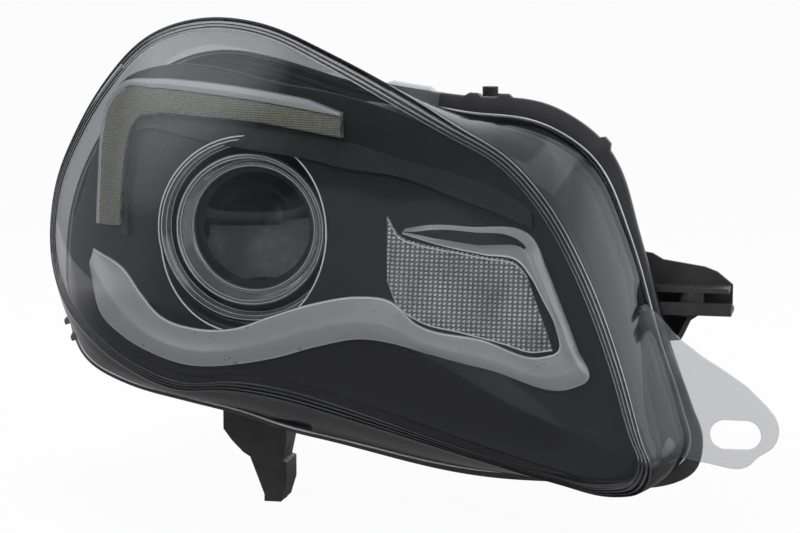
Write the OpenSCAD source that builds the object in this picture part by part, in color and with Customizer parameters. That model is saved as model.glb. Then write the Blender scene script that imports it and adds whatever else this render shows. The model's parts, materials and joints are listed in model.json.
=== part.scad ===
// Car headlight assembly, right-hand lamp. Millimetres, +X towards the grille, -Y forward, +Z up.
// The origin is the axis of the inner mounting bolt.

/* [Lens] */
// Width of the lens face across its ridge
lens_w = 452; // [440:1:465]
// Height of the lens face
lens_h = 284; // [278:1:292]
// Distance of the lens's lower inner corner ahead of the mounting bolt
lens_fwd = 94; // [88:1:100]
// How far the lens sweeps back round the wing
sweep_d = 225; // [210:1:235]
// Bulge of the lens face at its inner end
crown_in = 16; // [12:1:20]
// Extra bulge of the lens face at its outer end
crown_gain = 26; // [20:1:30]
// Thickness of the clear lens moulding
lens_t = 2.8; // [2.4:0.1:3.2]
// Depth of the lens's side wall at its inner end
wall_d = 60; // [54:1:66]
// Height of the beads round the lens face
bead_h = 1.2; // [0.6:0.1:1.6]
// Pitch of the beads
bead_pitch = 4; // [3.5:0.1:4.5]
// Thickness of the slotted tab
tab_t = 3.2; // [2.5:0.1:4]
// Length of the tab's slot, end to end
slot_l = 32; // [28:1:36]
// Width of the tab's slot
slot_w = 19; // [16:0.5:20]

/* [Seam] */
// Depth of the lens foot in the housing channel
foot_d = 9; // [7:0.5:11]
// Thickness of the sealing bead under the foot
seal_t = 2.9; // [2.4:0.1:3.5]
// Thickness of the channel's two lips
lip_t = 3.2; // [2.6:0.1:3.6]
// Side clearance of the lens foot in the channel
foot_gap = 0.8; // [0.5:0.1:1]

/* [Housing] */
// Wall thickness of the housing
wall_t = 2.6; // [2.2:0.1:3]
// Distance of the rear wall behind the bolt, at the bolt
back_in = 58; // [54:1:64]
// Slope of the rear wall, backwards per unit outwards
back_slope = 0.306; // [0.28:0.002:0.32]
// Size of the rear wall as a share of the seam's outline
back_scale = 0.77; // [0.74:0.01:0.8]
// Outer radius of the bay behind the projector
bay_r = 60; // [58:0.5:61]
// Distance of the bay's end behind the bolt
bay_end = 172; // [168:1:180]
// Bore radius of the rear service opening
service_r = 49; // [45:0.5:51]
// Height of the collar round the service opening
collar_h = 11; // [9:0.5:14]

/* [Bezel] */
// Gap between the lens and the bezel in the middle
bezel_gap = 22; // [19:0.5:25]
// Gap between the lens and the bezel at the ridge
edge_gap = 12.5; // [11.5:0.5:14]
// Thickness of the bezel moulding
bezel_t = 2.4; // [2:0.1:3]
// Thickness of the light guide
guide_t = 8; // [6:0.5:9]
// How far the wing trim's crest stands ahead of the bezel
wing_crest = 6; // [4:0.5:8]
// Depth of a flute on the turn signal lens
flute_h = 0.8; // [0.4:0.1:1]
// Thickness of the turn signal lens
turn_t = 2.4; // [2:0.1:3]

/* [Projector] */
// Distance of the projector's axis outboard of the bolt
proj_out = 293; // [288:1:298]
// Height of the projector's axis over the bolt
proj_up = 33; // [29:1:36]
// Setback of the outer ring behind the lens's lower inner corner
ring_set = 94; // [92:1:100]
// Diameter of the projector's glass
glass_d = 75; // [72:0.5:76]
// Height of the glass dome
glass_h = 20; // [16:0.5:22]
// Outer diameter of the inner ring
ring_a_d = 102; // [100:0.2:103]
// Inner diameter of the outer ring
ring_b_bore = 117; // [116.2:0.2:117.6]
// Outer diameter of the outer ring
ring_b_d = 122; // [121.2:0.2:123]
// Depth of the reflector bowl
bowl_d = 54; // [50:0.5:56]

/* [Aiming] */
// Distance of the fixed pivot outboard of the projector's axis
pivot_out = 67; // [64:1:69]
// Height of the fixed pivot over the bolt
pivot_up = 72; // [68:1:74]
// Distance of the pivots behind the outer ring's face
pivot_set = 70; // [70:0.5:72]
// Height of the levelling ball below the fixed pivot
level_arm = 97; // [92:1:98]
// Distance of the aiming screw inboard of the fixed pivot
aim_arm = 206; // [200:1:208]
// Radius of the three balls
ball_r = 6; // [5.5:0.1:6.5]
// Radius of the ball rods
rod_r = 4; // [3.5:0.1:4.2]
// Thickness of the carrier frame
frame_t = 6; // [5:0.5:7]
// Teeth of the bevel gear on the aiming screw
gear_teeth = 16; // [12:4:20]
// Teeth of the bevel pinion under the aiming knob
pinion_teeth = 10; // [8:2:12]
// Tooth module of the bevel pair
gear_mod = 1.25; // [1.1:0.05:1.3]

/* [Turn signal] */
// Distance of the bulb's axis outboard of the bolt
turn_out = 130; // [127:1:134]
// Height of the bulb's axis over the bolt
turn_up = 8; // [5:1:11]
// Radius of the reflector's neck
neck_r = 18; // [17.5:0.5:19]

/* [Mountings] */
// Bore radius of the bolt sleeves
bolt_r = 3.3; // [3.2:0.05:3.6]
// Outer radius of the bolt sleeves
sleeve_r = 5; // [4.8:0.1:5.6]
// Height of the inner sleeve above the bolt's reference point
sleeve_up = 5; // [4:0.5:6]
// Height of the inner sleeve below the reference point
sleeve_down = 12; // [10:0.5:14]
// Length of the leg below the bolt
leg_down = 162; // [156:1:166]
// Depth of the leg from front to back
leg_d = 28; // [24:1:32]
// Radius of the threaded hole in the leg's insert
insert_r = 2.5; // [2.1:0.1:2.6]

/* [Hidden] */
$fn = 48;

seat_gap = 0.3;      // gap between pieces that seat on each other
run_gap = 0.08;      // radial clearance of a shaft in its bore
ball_gap = 0.25;     // radial clearance of a ball in its socket
press_gap = 0.05;    // radial clearance of a pressed-in sleeve
weld_gap = 0.3;      // gap between the housing and the arm or leg fixed to it

// ---- the lens's two outlines, front view, from the lower inner corner round the wing and back
ridge_w = 452;
ridge_h = 284;
RIDGE = [[-14, -97], [-20, -109], [-36, -113], [-72, -107], [-122, -96], [-223, -75], [-262, -69],
    [-300, -67], [-335, -70], [-372, -62], [-412, -45], [-446, -20], [-464, 12], [-466, 46],
    [-448, 88], [-424, 123], [-388, 156], [-340, 171], [-290, 169], [-236, 151], [-144, 109],
    [-109, 91], [-82, 64], [-56, 21], [-32, -39], [-20, -79]];
SEAM = [[3, -92], [-1, -101], [-14, -108], [-66, -112], [-129, -114], [-230, -100], [-267, -95],
    [-300, -88], [-341, -82], [-386, -76], [-426, -64], [-448, -44], [-461, -14], [-464, 20],
    [-450, 60], [-424, 98], [-385, 130], [-339, 144], [-292, 140], [-241, 128], [-150, 113],
    [-99, 108], [-63, 87], [-38, 38], [-17, -28], [-2, -70]];
face_mid = [-236, 25];
sx = lens_w / ridge_w;
sz = lens_h / ridge_h;
function fit(p) = [p[0] * sx, p[1] * sz];
function fit_all(list) = [for (p = list) fit(p)];

// ---- curves
function unit(v) = v / norm(v);
function mix(a, b, t) = a + (b - a) * t;
function bend(a, b) = unit(a / norm(a) * norm(b) + b / norm(b) * norm(a));
function hermite(p, q, d, e, t) = let (l = norm(q - p))
    (2 * t^3 - 3 * t^2 + 1) * p + (t^3 - 2 * t^2 + t) * l * d
    + (3 * t^2 - 2 * t^3) * q + (t^3 - t^2) * l * e;
function closed_curve(p, m) = let (n = len(p),
    d = [for (i = [0:n - 1]) bend(p[i] - p[(i + n - 1) % n], p[(i + 1) % n] - p[i])])
    [for (i = [0:n - 1]) for (j = [0:m - 1]) hermite(p[i], p[(i + 1) % n], d[i], d[(i + 1) % n], j / m)];
function open_curve(p, m) = let (n = len(p),
    d = [for (i = [0:n - 1]) i == 0 ? unit(p[1] - p[0]) : i == n - 1 ? unit(p[i] - p[i - 1])
        : bend(p[i] - p[i - 1], p[i + 1] - p[i])])
    [for (i = [0:n - 2]) for (j = [0:m - 1]) hermite(p[i], p[i + 1], d[i], d[i + 1], j / m), p[n - 1]];

// ---- the lens face: an ellipse in plan, raked back upwards, with a crown
sweep_r = 492 * sx;
rake_in = 0.10;
rake_gain = 0.35;
rake_low = 115;
rake_rise = 65;
crown_power = 2.4;
function share(x) = min(max(-x / sweep_r, 0), 0.999);
function sweep_y(p) = let (s = share(p[0]))
    -lens_fwd + sweep_d * (1 - sqrt(1 - s * s))
    + (rake_in + rake_gain * s) * (p[1] + rake_low - rake_rise * s);
function crown(p, r) = (crown_in + crown_gain * share(p[0])) * (1 - r^crown_power);

curve_steps = 2;
mid = fit(face_mid);
ridge = closed_curve(fit_all(RIDGE), curve_steps);
seam = closed_curve(fit_all(SEAM), curve_steps);
ring_n = len(ridge);
seam_out = [for (i = [0:ring_n - 1]) let (t = unit(seam[(i + 1) % ring_n] - seam[(i + ring_n - 1) % ring_n]))
    [-t[1], t[0]]];
wall_taper = 0.5;
function seam_y(i) = sweep_y(ridge[i]) + wall_d * (1 - wall_taper * share(ridge[i][0]));

// distance from the middle to the ridge through a point, and the point's share of it
function reach(v) = max([for (i = [0:ring_n - 1])
    let (p = ridge[i] - mid, e = ridge[(i + 1) % ring_n] - ridge[i], c = cross(v, e))
    abs(c) < 1e-9 ? 0 : let (t = cross(p, e) / c, s = cross(p, v) / c)
    (t > 0 && s >= -1e-6 && s <= 1 + 1e-6) ? t : 0]);
function radial(p) = norm(p - mid) < 1 ? 0 : min(1, 1 / reach(p - mid));
function skin_at(p) = sweep_y(p) - crown(p, radial(p));
bezel_share = 0.94;
function gap_at(r) = lens_t + mix(bezel_gap, edge_gap, min(1, r / bezel_share)^6);
function bezel_at(p) = skin_at(p) + gap_at(radial(p));

// ---- lofts: rings of equal length, closed at both ends, turned outwards by their own volume
function pick(p, f) = [for (i = f) p[i]];
function six_volumes(p, f) = let (v = [for (t = f) cross(p[t[0]], p[t[1]]) * p[t[2]]]) v * [for (t = v) 1];
function quad(p, a, b, c, d) = norm(p[a] - p[d]) < norm(p[b] - p[c])
    ? [[a, c, d], [a, d, b]] : [[a, c, b], [b, c, d]];
function side_faces(p, n, k) = [for (j = [0:k - 2]) for (i = [0:n - 1])
    let (a = j * n + i, b = j * n + (i + 1) % n) each quad(p, a, b, a + n, b + n)];
function fan(n, base, tip, flip) = [for (i = [0:n - 1]) flip
    ? [tip, base + (i + 1) % n, base + i] : [tip, base + i, base + (i + 1) % n]];
function mean(l) = [for (k = [0:2]) ([for (p = l) p[k]] * [for (p = l) 1]) / len(l)];
module loft(rings, tip_a = undef, tip_b = undef) {
    n = len(rings[0]);
    k = len(rings);
    a = is_undef(tip_a) ? mean(rings[0]) : tip_a;
    b = is_undef(tip_b) ? mean(rings[k - 1]) : tip_b;
    points = [for (r = rings) each r, a, b];
    faces = concat(side_faces(points, n, k), fan(n, 0, n * k, false), fan(n, n * (k - 1), n * k + 1, true));
    outward = six_volumes(points, faces) < 0;
    polyhedron(points, outward ? faces : [for (f = faces) [f[0], f[2], f[1]]]);
}
// a closed ring of constant section: the last section joins the first
module hoop(sections) {
    n = len(sections[0]);
    k = len(sections);
    points = [for (s = sections) each s];
    faces = [for (j = [0:k - 1]) for (i = [0:n - 1])
        let (m = ((j + 1) % k) * n, l = (i + 1) % n) each quad(points, j * n + i, j * n + l, m + i, m + l)];
    outward = six_volumes(points, faces) < 0;
    polyhedron(points, outward ? faces : [for (f = faces) [f[0], f[2], f[1]]]);
}

// ---- rings of the lens face and of the seam
function face_ring(r, back) = [for (p = ridge) let (q = mix(mid, p, r))
    [q[0], sweep_y(q) - crown(q, r) + back, q[1]]];
function inset_ring(d, back) = [for (p = ridge) let (l = norm(p - mid), r = 1 - d / l, q = mix(mid, p, r))
    [q[0], sweep_y(q) - crown(q, r) + back, q[1]]];
function seam_ring(out, back) = [for (i = [0:ring_n - 1]) let (q = seam[i] + out * seam_out[i])
    [q[0], seam_y(i) + back, q[1]]];
function half_ring(out, bulge) = let (a = inset_ring(-out, 0), b = seam_ring(out, 0))
    [for (i = [0:ring_n - 1]) mix(a[i], b[i], 0.5) + bulge * [seam_out[i][0], 0, seam_out[i][1]]];

// ---- ribbons: strips between two curves, standing off the bezel's face
// lifts: forward lift at each share of the width, from curve a to curve b
function strip_ring(a, b, off, lifts, thick) = let (k = len(lifts) - 1) concat(
    [for (j = [0:k]) let (q = mix(a, b, j / k)) [q[0], bezel_at(q) + off - lifts[j], q[1]]],
    [for (j = [k:-1:0]) let (q = mix(a, b, j / k)) [q[0], bezel_at(q) + off + thick, q[1]]]);
module ribbon(a, b, off, lifts, thick)
    loft([for (i = [0:len(a) - 1]) strip_ring(a[i], b[i], off, lifts, thick)]);

// ---- places worked out from the driving sizes
proj_x = -proj_out;
ring_y = ring_set - lens_fwd;
glass_r = glass_d / 2;
apex_y = ring_y + 2;
glass_y = apex_y + glass_h;          // start of the glass's straight edge
glass_edge = 4;
holder_y = glass_y + 32;             // front of the holder's rear flange
flange_t = 3;
carrier_y = holder_y + flange_t;     // front of the shutter carrier
carrier_t = 3;
bowl_y = carrier_y + carrier_t;      // front of the reflector's flange
bowl_flange = 4;
frame_y = bowl_y + bowl_flange;      // front of the carrier frame
pivot_y = ring_y + pivot_set;
pivot_x = proj_x - pivot_out;
aim_x = pivot_x + aim_arm;
level_z = pivot_up - level_arm;
turn_x = -turn_out;
holder_r = glass_r + 4;              // outside of the lens holder's barrel
bowl_r = 44;
flange_r = bowl_r + 12;
bowl_t = 2;
bowl_end = frame_y + bowl_d;
bulb_neck = 14;
neck_l = 8;
function back_y(x) = back_in - back_slope * x;
back_angle = atan(back_slope);
back_mid = fit([-250, 10]);

module at_projector(y) { translate([proj_x, y, proj_up]) rotate([-90, 0, 0]) children(); }
module along_y(x, y, z) { translate([x, y, z]) rotate([-90, 0, 0]) children(); }
module on_back(x, z) { translate([x, back_y(x), z]) rotate([0, 0, -back_angle]) children(); }
module pad(w, h, d, r) {
    // a plate in the XZ plane with round corners, growing towards +Y
    rotate([90, 0, 0]) mirror([0, 0, 1]) linear_extrude(d) {
        square([w, h - 2 * r], center = true);
        square([w - 2 * r, h], center = true);
        for (i = [-1, 1], j = [-1, 1]) translate([i * (w / 2 - r), j * (h / 2 - r)]) circle(r);
    }
}

// ================= static shell =================
rim_out = foot_gap + lip_t;
rim_in = -lens_t - foot_gap - lip_t;
channel_d = foot_d + seal_t + 2 * seat_gap;
rim_back = channel_d + wall_t;
bowl_in = 1;
function bowl_ring(t, inset, thick) = let (w = t^1.6) [for (i = [0:ring_n - 1])
    let (q0 = seam[i] - (bowl_in + inset) * seam_out[i],
         qb = mix(back_mid, seam[i], back_scale) - inset * seam_out[i], q = mix(q0, qb, w))
    [q[0], mix(seam_y(i) + rim_back + 3, back_y(qb[0]), t) - thick, q[1]]];
corner_t = 0.92;     // where the side walls turn into the rear wall
corner_in = wall_t * corner_t^2;
module side_walls() {
    // the channel for the lens foot and the side walls behind it, all round
    steps = [0.25, 0.5, 0.75];
    rings = concat([bowl_ring(corner_t, wall_t, corner_in)],
        [for (k = [2:-1:0]) bowl_ring(steps[k], wall_t, wall_t * steps[k]^2)],
        [seam_ring(rim_in, rim_back), seam_ring(rim_in, 2), seam_ring(rim_in + lip_t, 2),
         seam_ring(rim_in + lip_t, channel_d), seam_ring(foot_gap, channel_d), seam_ring(foot_gap, 1.5),
         seam_ring(rim_out, 1.5), seam_ring(rim_out, rim_back), seam_ring(-bowl_in, rim_back + 3)],
        [for (t = steps) bowl_ring(t, 0, 0)], [bowl_ring(corner_t, 0, 0)]);
    hoop([for (i = [0:ring_n - 1]) [for (r = rings) r[i]]]);
}
module rear_wall() loft([bowl_ring(1, wall_t, wall_t), bowl_ring(corner_t, wall_t, corner_in),
    bowl_ring(corner_t, 0, 0), bowl_ring(1, 0, 0)]);

arm_y0 = -12;
arm_y1 = 15;
ledge_z = sleeve_up;
arm_root = -32 * sx - 8;
arm_face = -20.5 * sx;
leg_x0 = -326;
leg_x1 = -281;
leg_y = 60;
leg_top = -83 * sz;
insert_l = 14;
module arm() {
    // upper rib, bolt ledge and lower flange of the inner arm
    translate([0, arm_y1, 0]) rotate([90, 0, 0]) linear_extrude(3)
        polygon([[arm_root, 26], [-27, 24], [-20, 20], [7, 16], [15, 13], [25, ledge_z], [25, -sleeve_down],
            [7, -sleeve_down], [0, -16], [-6, -29], [arm_root, -34]]);
    translate([0, arm_y1 - 1, 0]) rotate([90, 0, 0]) linear_extrude(arm_y1 - 1 - arm_y0 - 4)
        polygon([[arm_root, ledge_z - 3], [arm_root, ledge_z], [24, ledge_z], [24, ledge_z - 3]]);
    translate([0, arm_y1 - 1, 0]) rotate([90, 0, 0]) linear_extrude(arm_y1 - 1 - arm_y0 - 5)
        polygon([[arm_root, -sleeve_down + 3], [26, -sleeve_down + 3], [26, -sleeve_down],
            [6, -sleeve_down], [0, -16], [-6, -29], [arm_root, -32], [arm_root, -29], [-8, -26], [-2, -14]]);
    translate([arm_face, arm_y0, -sleeve_down]) cube([26 - arm_face, 3, sleeve_down - 4]);
    translate([arm_face, arm_y0, -sleeve_down]) cube([26 - arm_face, 8, 3]);
    translate([0, 0, -sleeve_down]) cylinder(h = sleeve_up + sleeve_down, r = sleeve_r + 3);
}
module leg() {
    // hollow leg under the housing, open towards the back
    difference() {
        translate([0, leg_y + leg_d / 2, 0]) rotate([90, 0, 0]) linear_extrude(leg_d)
            polygon([[leg_x0, leg_top + 1], [leg_x0, -112], [-320, -120], [-312, -128], [-307, -131],
                [-303, -141], [-297, 5 - leg_down], [-297, -leg_down], [-285, -leg_down], [leg_x1, -149],
                [leg_x1, -134], [-284, -133], [leg_x1, -119], [leg_x1, leg_top - 4]]);
        translate([0, leg_y + leg_d, 0]) rotate([90, 0, 0]) linear_extrude(leg_d - wall_t + leg_d / 2 - 3)
            polygon([[leg_x0 + 3, leg_top - 8], [leg_x0 + 3, -110], [-316, -118], [-305, -127],
                [-300, -138], [-297, -144], [-287, -144], [-287, -130], [leg_x1 - 3, -118],
                [leg_x1 - 3, leg_top - 12]]);
    }
    translate([-291, leg_y, -leg_down]) cylinder(h = insert_l + 4, r = sleeve_r + 1.6);
}
module housing() color([0.06, 0.06, 0.065]) difference() {
    union() {
        side_walls();
        // bearing of the aiming knob's shaft
        translate([aim_x - 9, screw_axis_y - 46, knob_z - 17]) cube([18, 56, 11]);
    }
    translate([aim_x, screw_axis_y, knob_z - 20]) cylinder(h = 30, r = knob_shaft_r + run_gap);
}
// the housing's outside as one solid, grown by a gap: what is fixed to the housing is cut by it
module outside(gap) loft(concat([seam_ring(rim_out + gap, 1.5 - gap), seam_ring(rim_out + gap, rim_back)],
    [for (t = [0, 0.25, 0.5, 0.75, corner_t]) bowl_ring(t, -gap, 0)]));
module inner_arm() color([0.06, 0.06, 0.065]) difference() {
    arm();
    outside(weld_gap);
    translate([0, 0, -sleeve_down - 1]) cylinder(h = sleeve_up + sleeve_down + 2, r = sleeve_r + press_gap);
}
module lower_leg() color([0.06, 0.06, 0.065]) difference() {
    leg();
    outside(weld_gap);
    translate([-291, leg_y, -leg_down - 1]) cylinder(h = insert_l + 1, r = sleeve_r + press_gap - 0.8);
}
module housing_back() color([0.06, 0.06, 0.065]) difference() {
    union() {
        rear_wall();
        at_projector(bay_end - 50) cylinder(h = 50, r = bay_r);
        at_projector(bay_end - 1) cylinder(h = collar_h + 1, r = service_r + wall_t);
        along_y(turn_x, back_y(turn_x) - 12, turn_up) cylinder(h = 22, r = turn_collar);
        for (p = motor_posts) along_y(p[0], motor_y1 + seat_gap, p[1])
            cylinder(h = back_y(p[0]) - motor_y1, r = 4.5);
        along_y(pivot_x, stud_y1 - 12, pivot_up) cylinder(h = 18, r = 9);
        along_y(pivot_x, back_y(pivot_x) - 14, level_z) cylinder(h = 20, r = 9);
        // bearing of the aiming screw
        along_y(aim_x, screw_y0 + 4, pivot_up) cylinder(h = screw_gear_y - screw_y0 - 7.4, r = screw_r + 4);
    }
    at_projector(bay_end - 60) cylinder(h = 60 - wall_t, r = bay_r - wall_t);
    at_projector(bay_end - 60) cylinder(h = 60 + 2 * collar_h, r = service_r);
    along_y(turn_x, back_y(turn_x) - 20, turn_up) cylinder(h = 40, r = turn_body_r + run_gap);
    along_y(pivot_x, stud_y1 - 12.1, pivot_up) cylinder(h = 14, r = stud_r + press_gap);
    along_y(pivot_x, back_y(pivot_x) - 20, level_z) cylinder(h = 40, r = adjuster_r + run_gap);
    along_y(aim_x, screw_y0, pivot_up) cylinder(h = 50, r = screw_r + run_gap);
    on_back(plug_x, plug_z) translate([0, -8, 0]) pad(34, 14, 20, 2);
    for (p = motor_posts) along_y(p[0], motor_y1, p[1]) cylinder(h = 10, r = 1.7);
}

module lens_seal() color([0.10, 0.10, 0.10])
    hoop([for (i = [0:ring_n - 1]) let (o = seam_out[i], a = foot_gap - 0.3, b = -lens_t - foot_gap + 0.3,
        y0 = seam_y(i) + foot_d + seat_gap, y1 = seam_y(i) + channel_d - seat_gap)
        [for (k = [[a, y0], [a, y1], [b, y1], [b, y0]])
            [seam[i][0] + k[0] * o[0], k[1], seam[i][1] + k[0] * o[1]]]]);

tab_y = -lens_fwd + wall_d - 1;
TAB = [[-26, -2], [-3, -24], [51, -64], [57.5, -73], [59, -82], [55.5, -90], [46, -97], [40, -103],
    [16, -102], [-10, -96]];
slot_at = [32, -83];
module outer_lens() color([0.85, 0.88, 0.9, 0.35]) {
    beads = [for (k = [3:-1:1])
        each [inset_ring(k * bead_pitch, 0), inset_ring((k - 0.5) * bead_pitch, -bead_h)]];
    shares = [0.18, 0.38, 0.58, 0.76, 0.88];
    loft(concat(
        [for (r = shares) face_ring(r, 0)], beads, [inset_ring(0, 0)],
        [half_ring(0, 2), seam_ring(0, 0), seam_ring(0, foot_d), seam_ring(-lens_t, foot_d),
         seam_ring(-lens_t, 0), half_ring(-lens_t, 2), inset_ring(lens_t + 1, lens_t + 1)],
        [for (k = [4:-1:0]) face_ring(shares[k], lens_t)]),
        [mid[0], sweep_y(mid) - crown(mid, 0), mid[1]],
        [mid[0], sweep_y(mid) - crown(mid, 0) + lens_t, mid[1]]);
}
module lens_tab() color([0.85, 0.88, 0.9, 0.35]) difference() {
    // the slotted tab, cut where it meets the lens's side wall
    translate([0, tab_y, 0]) rotate([90, 0, 0]) linear_extrude(tab_t) difference() {
        polygon(TAB);
        for (i = [-1, 1]) translate(slot_at + [i * (slot_l - slot_w) / 2, 0]) circle(slot_w / 2);
        translate(slot_at) square([slot_l - slot_w, slot_w], center = true);
    }
    loft([seam_ring(0, foot_d + 5), seam_ring(0, 0), half_ring(0, 2), inset_ring(0, 0)]);
}

// ================= bezel and its trims =================
DRL_OUT = [[-410, 30], [-414, 60], [-417, 88], [-414, 109], [-403, 119.5], [-373, 122], [-332, 121],
    [-292, 118.5], [-251, 114], [-226, 110.5]];
DRL_IN = [[-389, 31], [-392, 56], [-392.5, 79], [-391, 93], [-386, 101], [-372, 105], [-330, 106],
    [-288, 105], [-250, 100.8], [-224, 97.5]];
TRIM_W = [1.8, 1.8, 2, 2.6, 4, 6, 7, 7, 6, 2];
TURN_TOP = [[-189.5, 50], [-181, 38.6], [-166, 33.8], [-146, 30.8], [-124, 27.4], [-104.5, 24], [-98, 18]];
TURN_LOW = [[-187, 12], [-178.5, -4], [-164, -12.4], [-138, -17.8], [-112, -23.4], [-92, -28.2],
    [-80, -26.6]];
guide_steps = 3;
drl_a = open_curve(fit_all(DRL_OUT), guide_steps);
drl_b = open_curve(fit_all(DRL_IN), guide_steps);
function loop(a, b) = concat(a, [for (i = [len(b) - 1:-1:0]) b[i]]);
function shift_all(a, b, d) = [for (i = [0:len(a) - 1]) a[i] + d * unit(a[i] - b[i])];
trim_w = [for (i = [0:len(drl_a) - 1]) let (k = floor(i / guide_steps), t = i / guide_steps - k)
    k + 1 < len(TRIM_W) ? mix(TRIM_W[k], TRIM_W[k + 1], t) : TRIM_W[k]];
trim_in = shift_all(drl_a, drl_b, seat_gap);
trim_out = [for (i = [0:len(drl_a) - 1]) trim_in[i] + trim_w[i] * unit(drl_a[i] - drl_b[i])];
// the openings behind the light guide and behind the turn signal leave a ledge for them to sit on
ledge = 2.5;
stand = 0.8;
module drl_opening() polygon(loop([for (i = [1:len(drl_a) - 2]) shift_all(drl_a, drl_b, -ledge)[i]],
    [for (i = [1:len(drl_a) - 2]) shift_all(drl_b, drl_a, -ledge)[i]]));
module turn_opening() let (a = open_curve(fit_all(TURN_TOP), 2), b = open_curve(fit_all(TURN_LOW), 2))
    polygon(loop([for (i = [1:len(a) - 2]) shift_all(a, b, -ledge)[i]],
        [for (i = [1:len(a) - 2]) shift_all(b, a, -ledge)[i]]));
skirt = rim_in - seat_gap;
tunnel_r = ring_b_d / 2 + seat_gap;
tunnel_n = 48;
tunnel_back = ring_y + 24;
function circle_at(r, i) = [proj_x + r * cos(360 * i / tunnel_n), proj_up + r * sin(360 * i / tunnel_n)];
module tunnel() {
    // round tunnel of the projector, its front edge cut by the bezel's face
    r = tunnel_r / cos(180 / tunnel_n);
    hoop([for (i = [0:tunnel_n - 1]) let (p = circle_at(r, i), q = circle_at(r + bezel_t, i),
        y = min(bezel_at(circle_at(r + bezel_t, i)) + 0.4, tunnel_back - 4))
        [[p[0], y, p[1]], [p[0], tunnel_back, p[1]], [q[0], tunnel_back, q[1]], [q[0], y, q[1]]]]);
}
// how far the bezel's edge stays inside the ridge, at each point of the ridge's outline
BEZEL_IN = [11, 11, 11, 11, 11, 11, 11, 11, 11, 11, 12, 15, 21, 31, 24, 10, 28, 42, 42, 26, 11, 11,
    11, 11, 11, 11];
bezel_edge = closed_curve([for (i = [0:len(RIDGE) - 1]) let (p = fit(RIDGE[i]))
    mix(p, mid, BEZEL_IN[i] / norm(p - mid))], curve_steps);
// 1 where the bezel's side follows the lens's wall, 0 where it runs straight back to the seam
hug = [for (i = [0:ring_n - 1]) min(1, max(0, 2 - norm(ridge[i] - bezel_edge[i]) / 11))];
function edge_ring(r, back) = [for (p = bezel_edge) let (q = mix(mid, p, r))
    [q[0], bezel_at(q) + back, q[1]]];
function side_ring(out, bulge) = let (a = edge_ring(1, 0), b = seam_ring(skirt, 0),
    c = half_ring(out - lens_t - 4, bulge)) [for (i = [0:ring_n - 1])
        mix(mix(a[i], b[i], 0.5) + out * [seam_out[i][0], 0, seam_out[i][1]], c[i], hug[i])];
module main_bezel() color([0.05, 0.05, 0.055]) {
    shares = [0.15, 0.3, 0.43, 0.55, 0.66, 0.76, 0.85, 0.93];
    difference() {
        loft(concat([for (r = shares) edge_ring(r, 0)],
            [edge_ring(1, 0), side_ring(0, 2), seam_ring(skirt, 0), seam_ring(skirt, 12),
             seam_ring(skirt - bezel_t, 12), seam_ring(skirt - bezel_t, 0), side_ring(-bezel_t, 1),
             edge_ring(0.985, bezel_t)],
            [for (k = [7:-1:0]) edge_ring(shares[k] * 0.99, bezel_t)]));
        at_projector(-120) cylinder(h = 240, r = tunnel_r);
        translate([0, 20, 0]) rotate([90, 0, 0]) linear_extrude(140) turn_opening();
        translate([0, 140, 0]) rotate([90, 0, 0]) linear_extrude(200) drl_opening();
    }
    tunnel();
}
module bezel_ring() color([0.55, 0.56, 0.58]) at_projector(ring_y) {
    rib = 1.1;
    b = ring_b_bore / 2;
    o = ring_b_d / 2;
    rotate_extrude($fn = 96) polygon([[b, 1.2], [b + 0.5, 0.4], [b + 1, 1.4], [b + 1.5, 0], [b + 2, rib],
        [b + 2.3, 0.2], [o, 1], [o, 23], [o - 1.6, 23], [o - 1.6, 8], [b, 6]]);
}

module drl_light_guide() color([0.78, 0.78, 0.70])
    ribbon(drl_a, drl_b, -stand - guide_t, [0, 1.2, 1.6, 1.2, 0], guide_t);
module drl_trim() color([0.72, 0.73, 0.75])
    ribbon(trim_out, trim_in, -stand - guide_t - trim_step, [0, 0.8, 0], guide_t + trim_step);
trim_step = 0.5;
module drl_led_board() color([0.08, 0.25, 0.12])
    ribbon(shift_all(drl_a, drl_b, -ledge - 0.6), shift_all(drl_b, drl_a, -ledge - 0.6), bezel_t + stand,
        [0, 0], 1.6);

WING_A = [[-415, 12], [-384, 2], [-368, -12], [-352, -24], [-323, -29.5], [-295, -27], [-268, -17],
    [-236, -6], [-206, 0], [-186, -1], [-166, -15], [-125, -22.5], [-85, -31.5], [-76.5, -28], [-78, -14],
    [-87, 3], [-95.5, 17], [-103, 25.4], [-125, 29], [-152, 33.6], [-179, 40]];
WING_B = [[-416, -3], [-403, -30], [-384, -41], [-360, -49], [-328, -54], [-298, -51], [-266, -44],
    [-232, -33], [-203, -26.5], [-184, -27.5], [-160, -32.5], [-118, -41], [-66, -50], [-57, -45],
    [-64, -26], [-76, 2], [-85, 22], [-95, 41], [-136, 46], [-163, 46], [-177, 43.5]];
wing_a = open_curve(fit_all(WING_A), 2);
wing_b = open_curve(fit_all(WING_B), 2);
wing_t = 2.4;
module wing_trim() color([0.70, 0.71, 0.73])
    ribbon(wing_a, wing_b, -stand - wing_t,
        [0, wing_crest * 0.4, wing_crest * 0.7, wing_crest * 0.45, 0.4], wing_t);
insert_w = [0.04, 0.16, 0.2, 0.2, 0.17, 0.1, 0.03];
module wing_insert() color([0.03, 0.03, 0.03]) {
    k = [for (i = [0:6]) i + 34];
    ribbon([for (i = [0:6]) mix(wing_a[k[i]], wing_b[k[i]], 0.5 - insert_w[i])],
        [for (i = [0:6]) mix(wing_a[k[i]], wing_b[k[i]], 0.5 + insert_w[i])],
        -stand - wing_t - wing_crest * 0.7 - 1.2, [0, 0.3, 0], 0.9);
}
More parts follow.
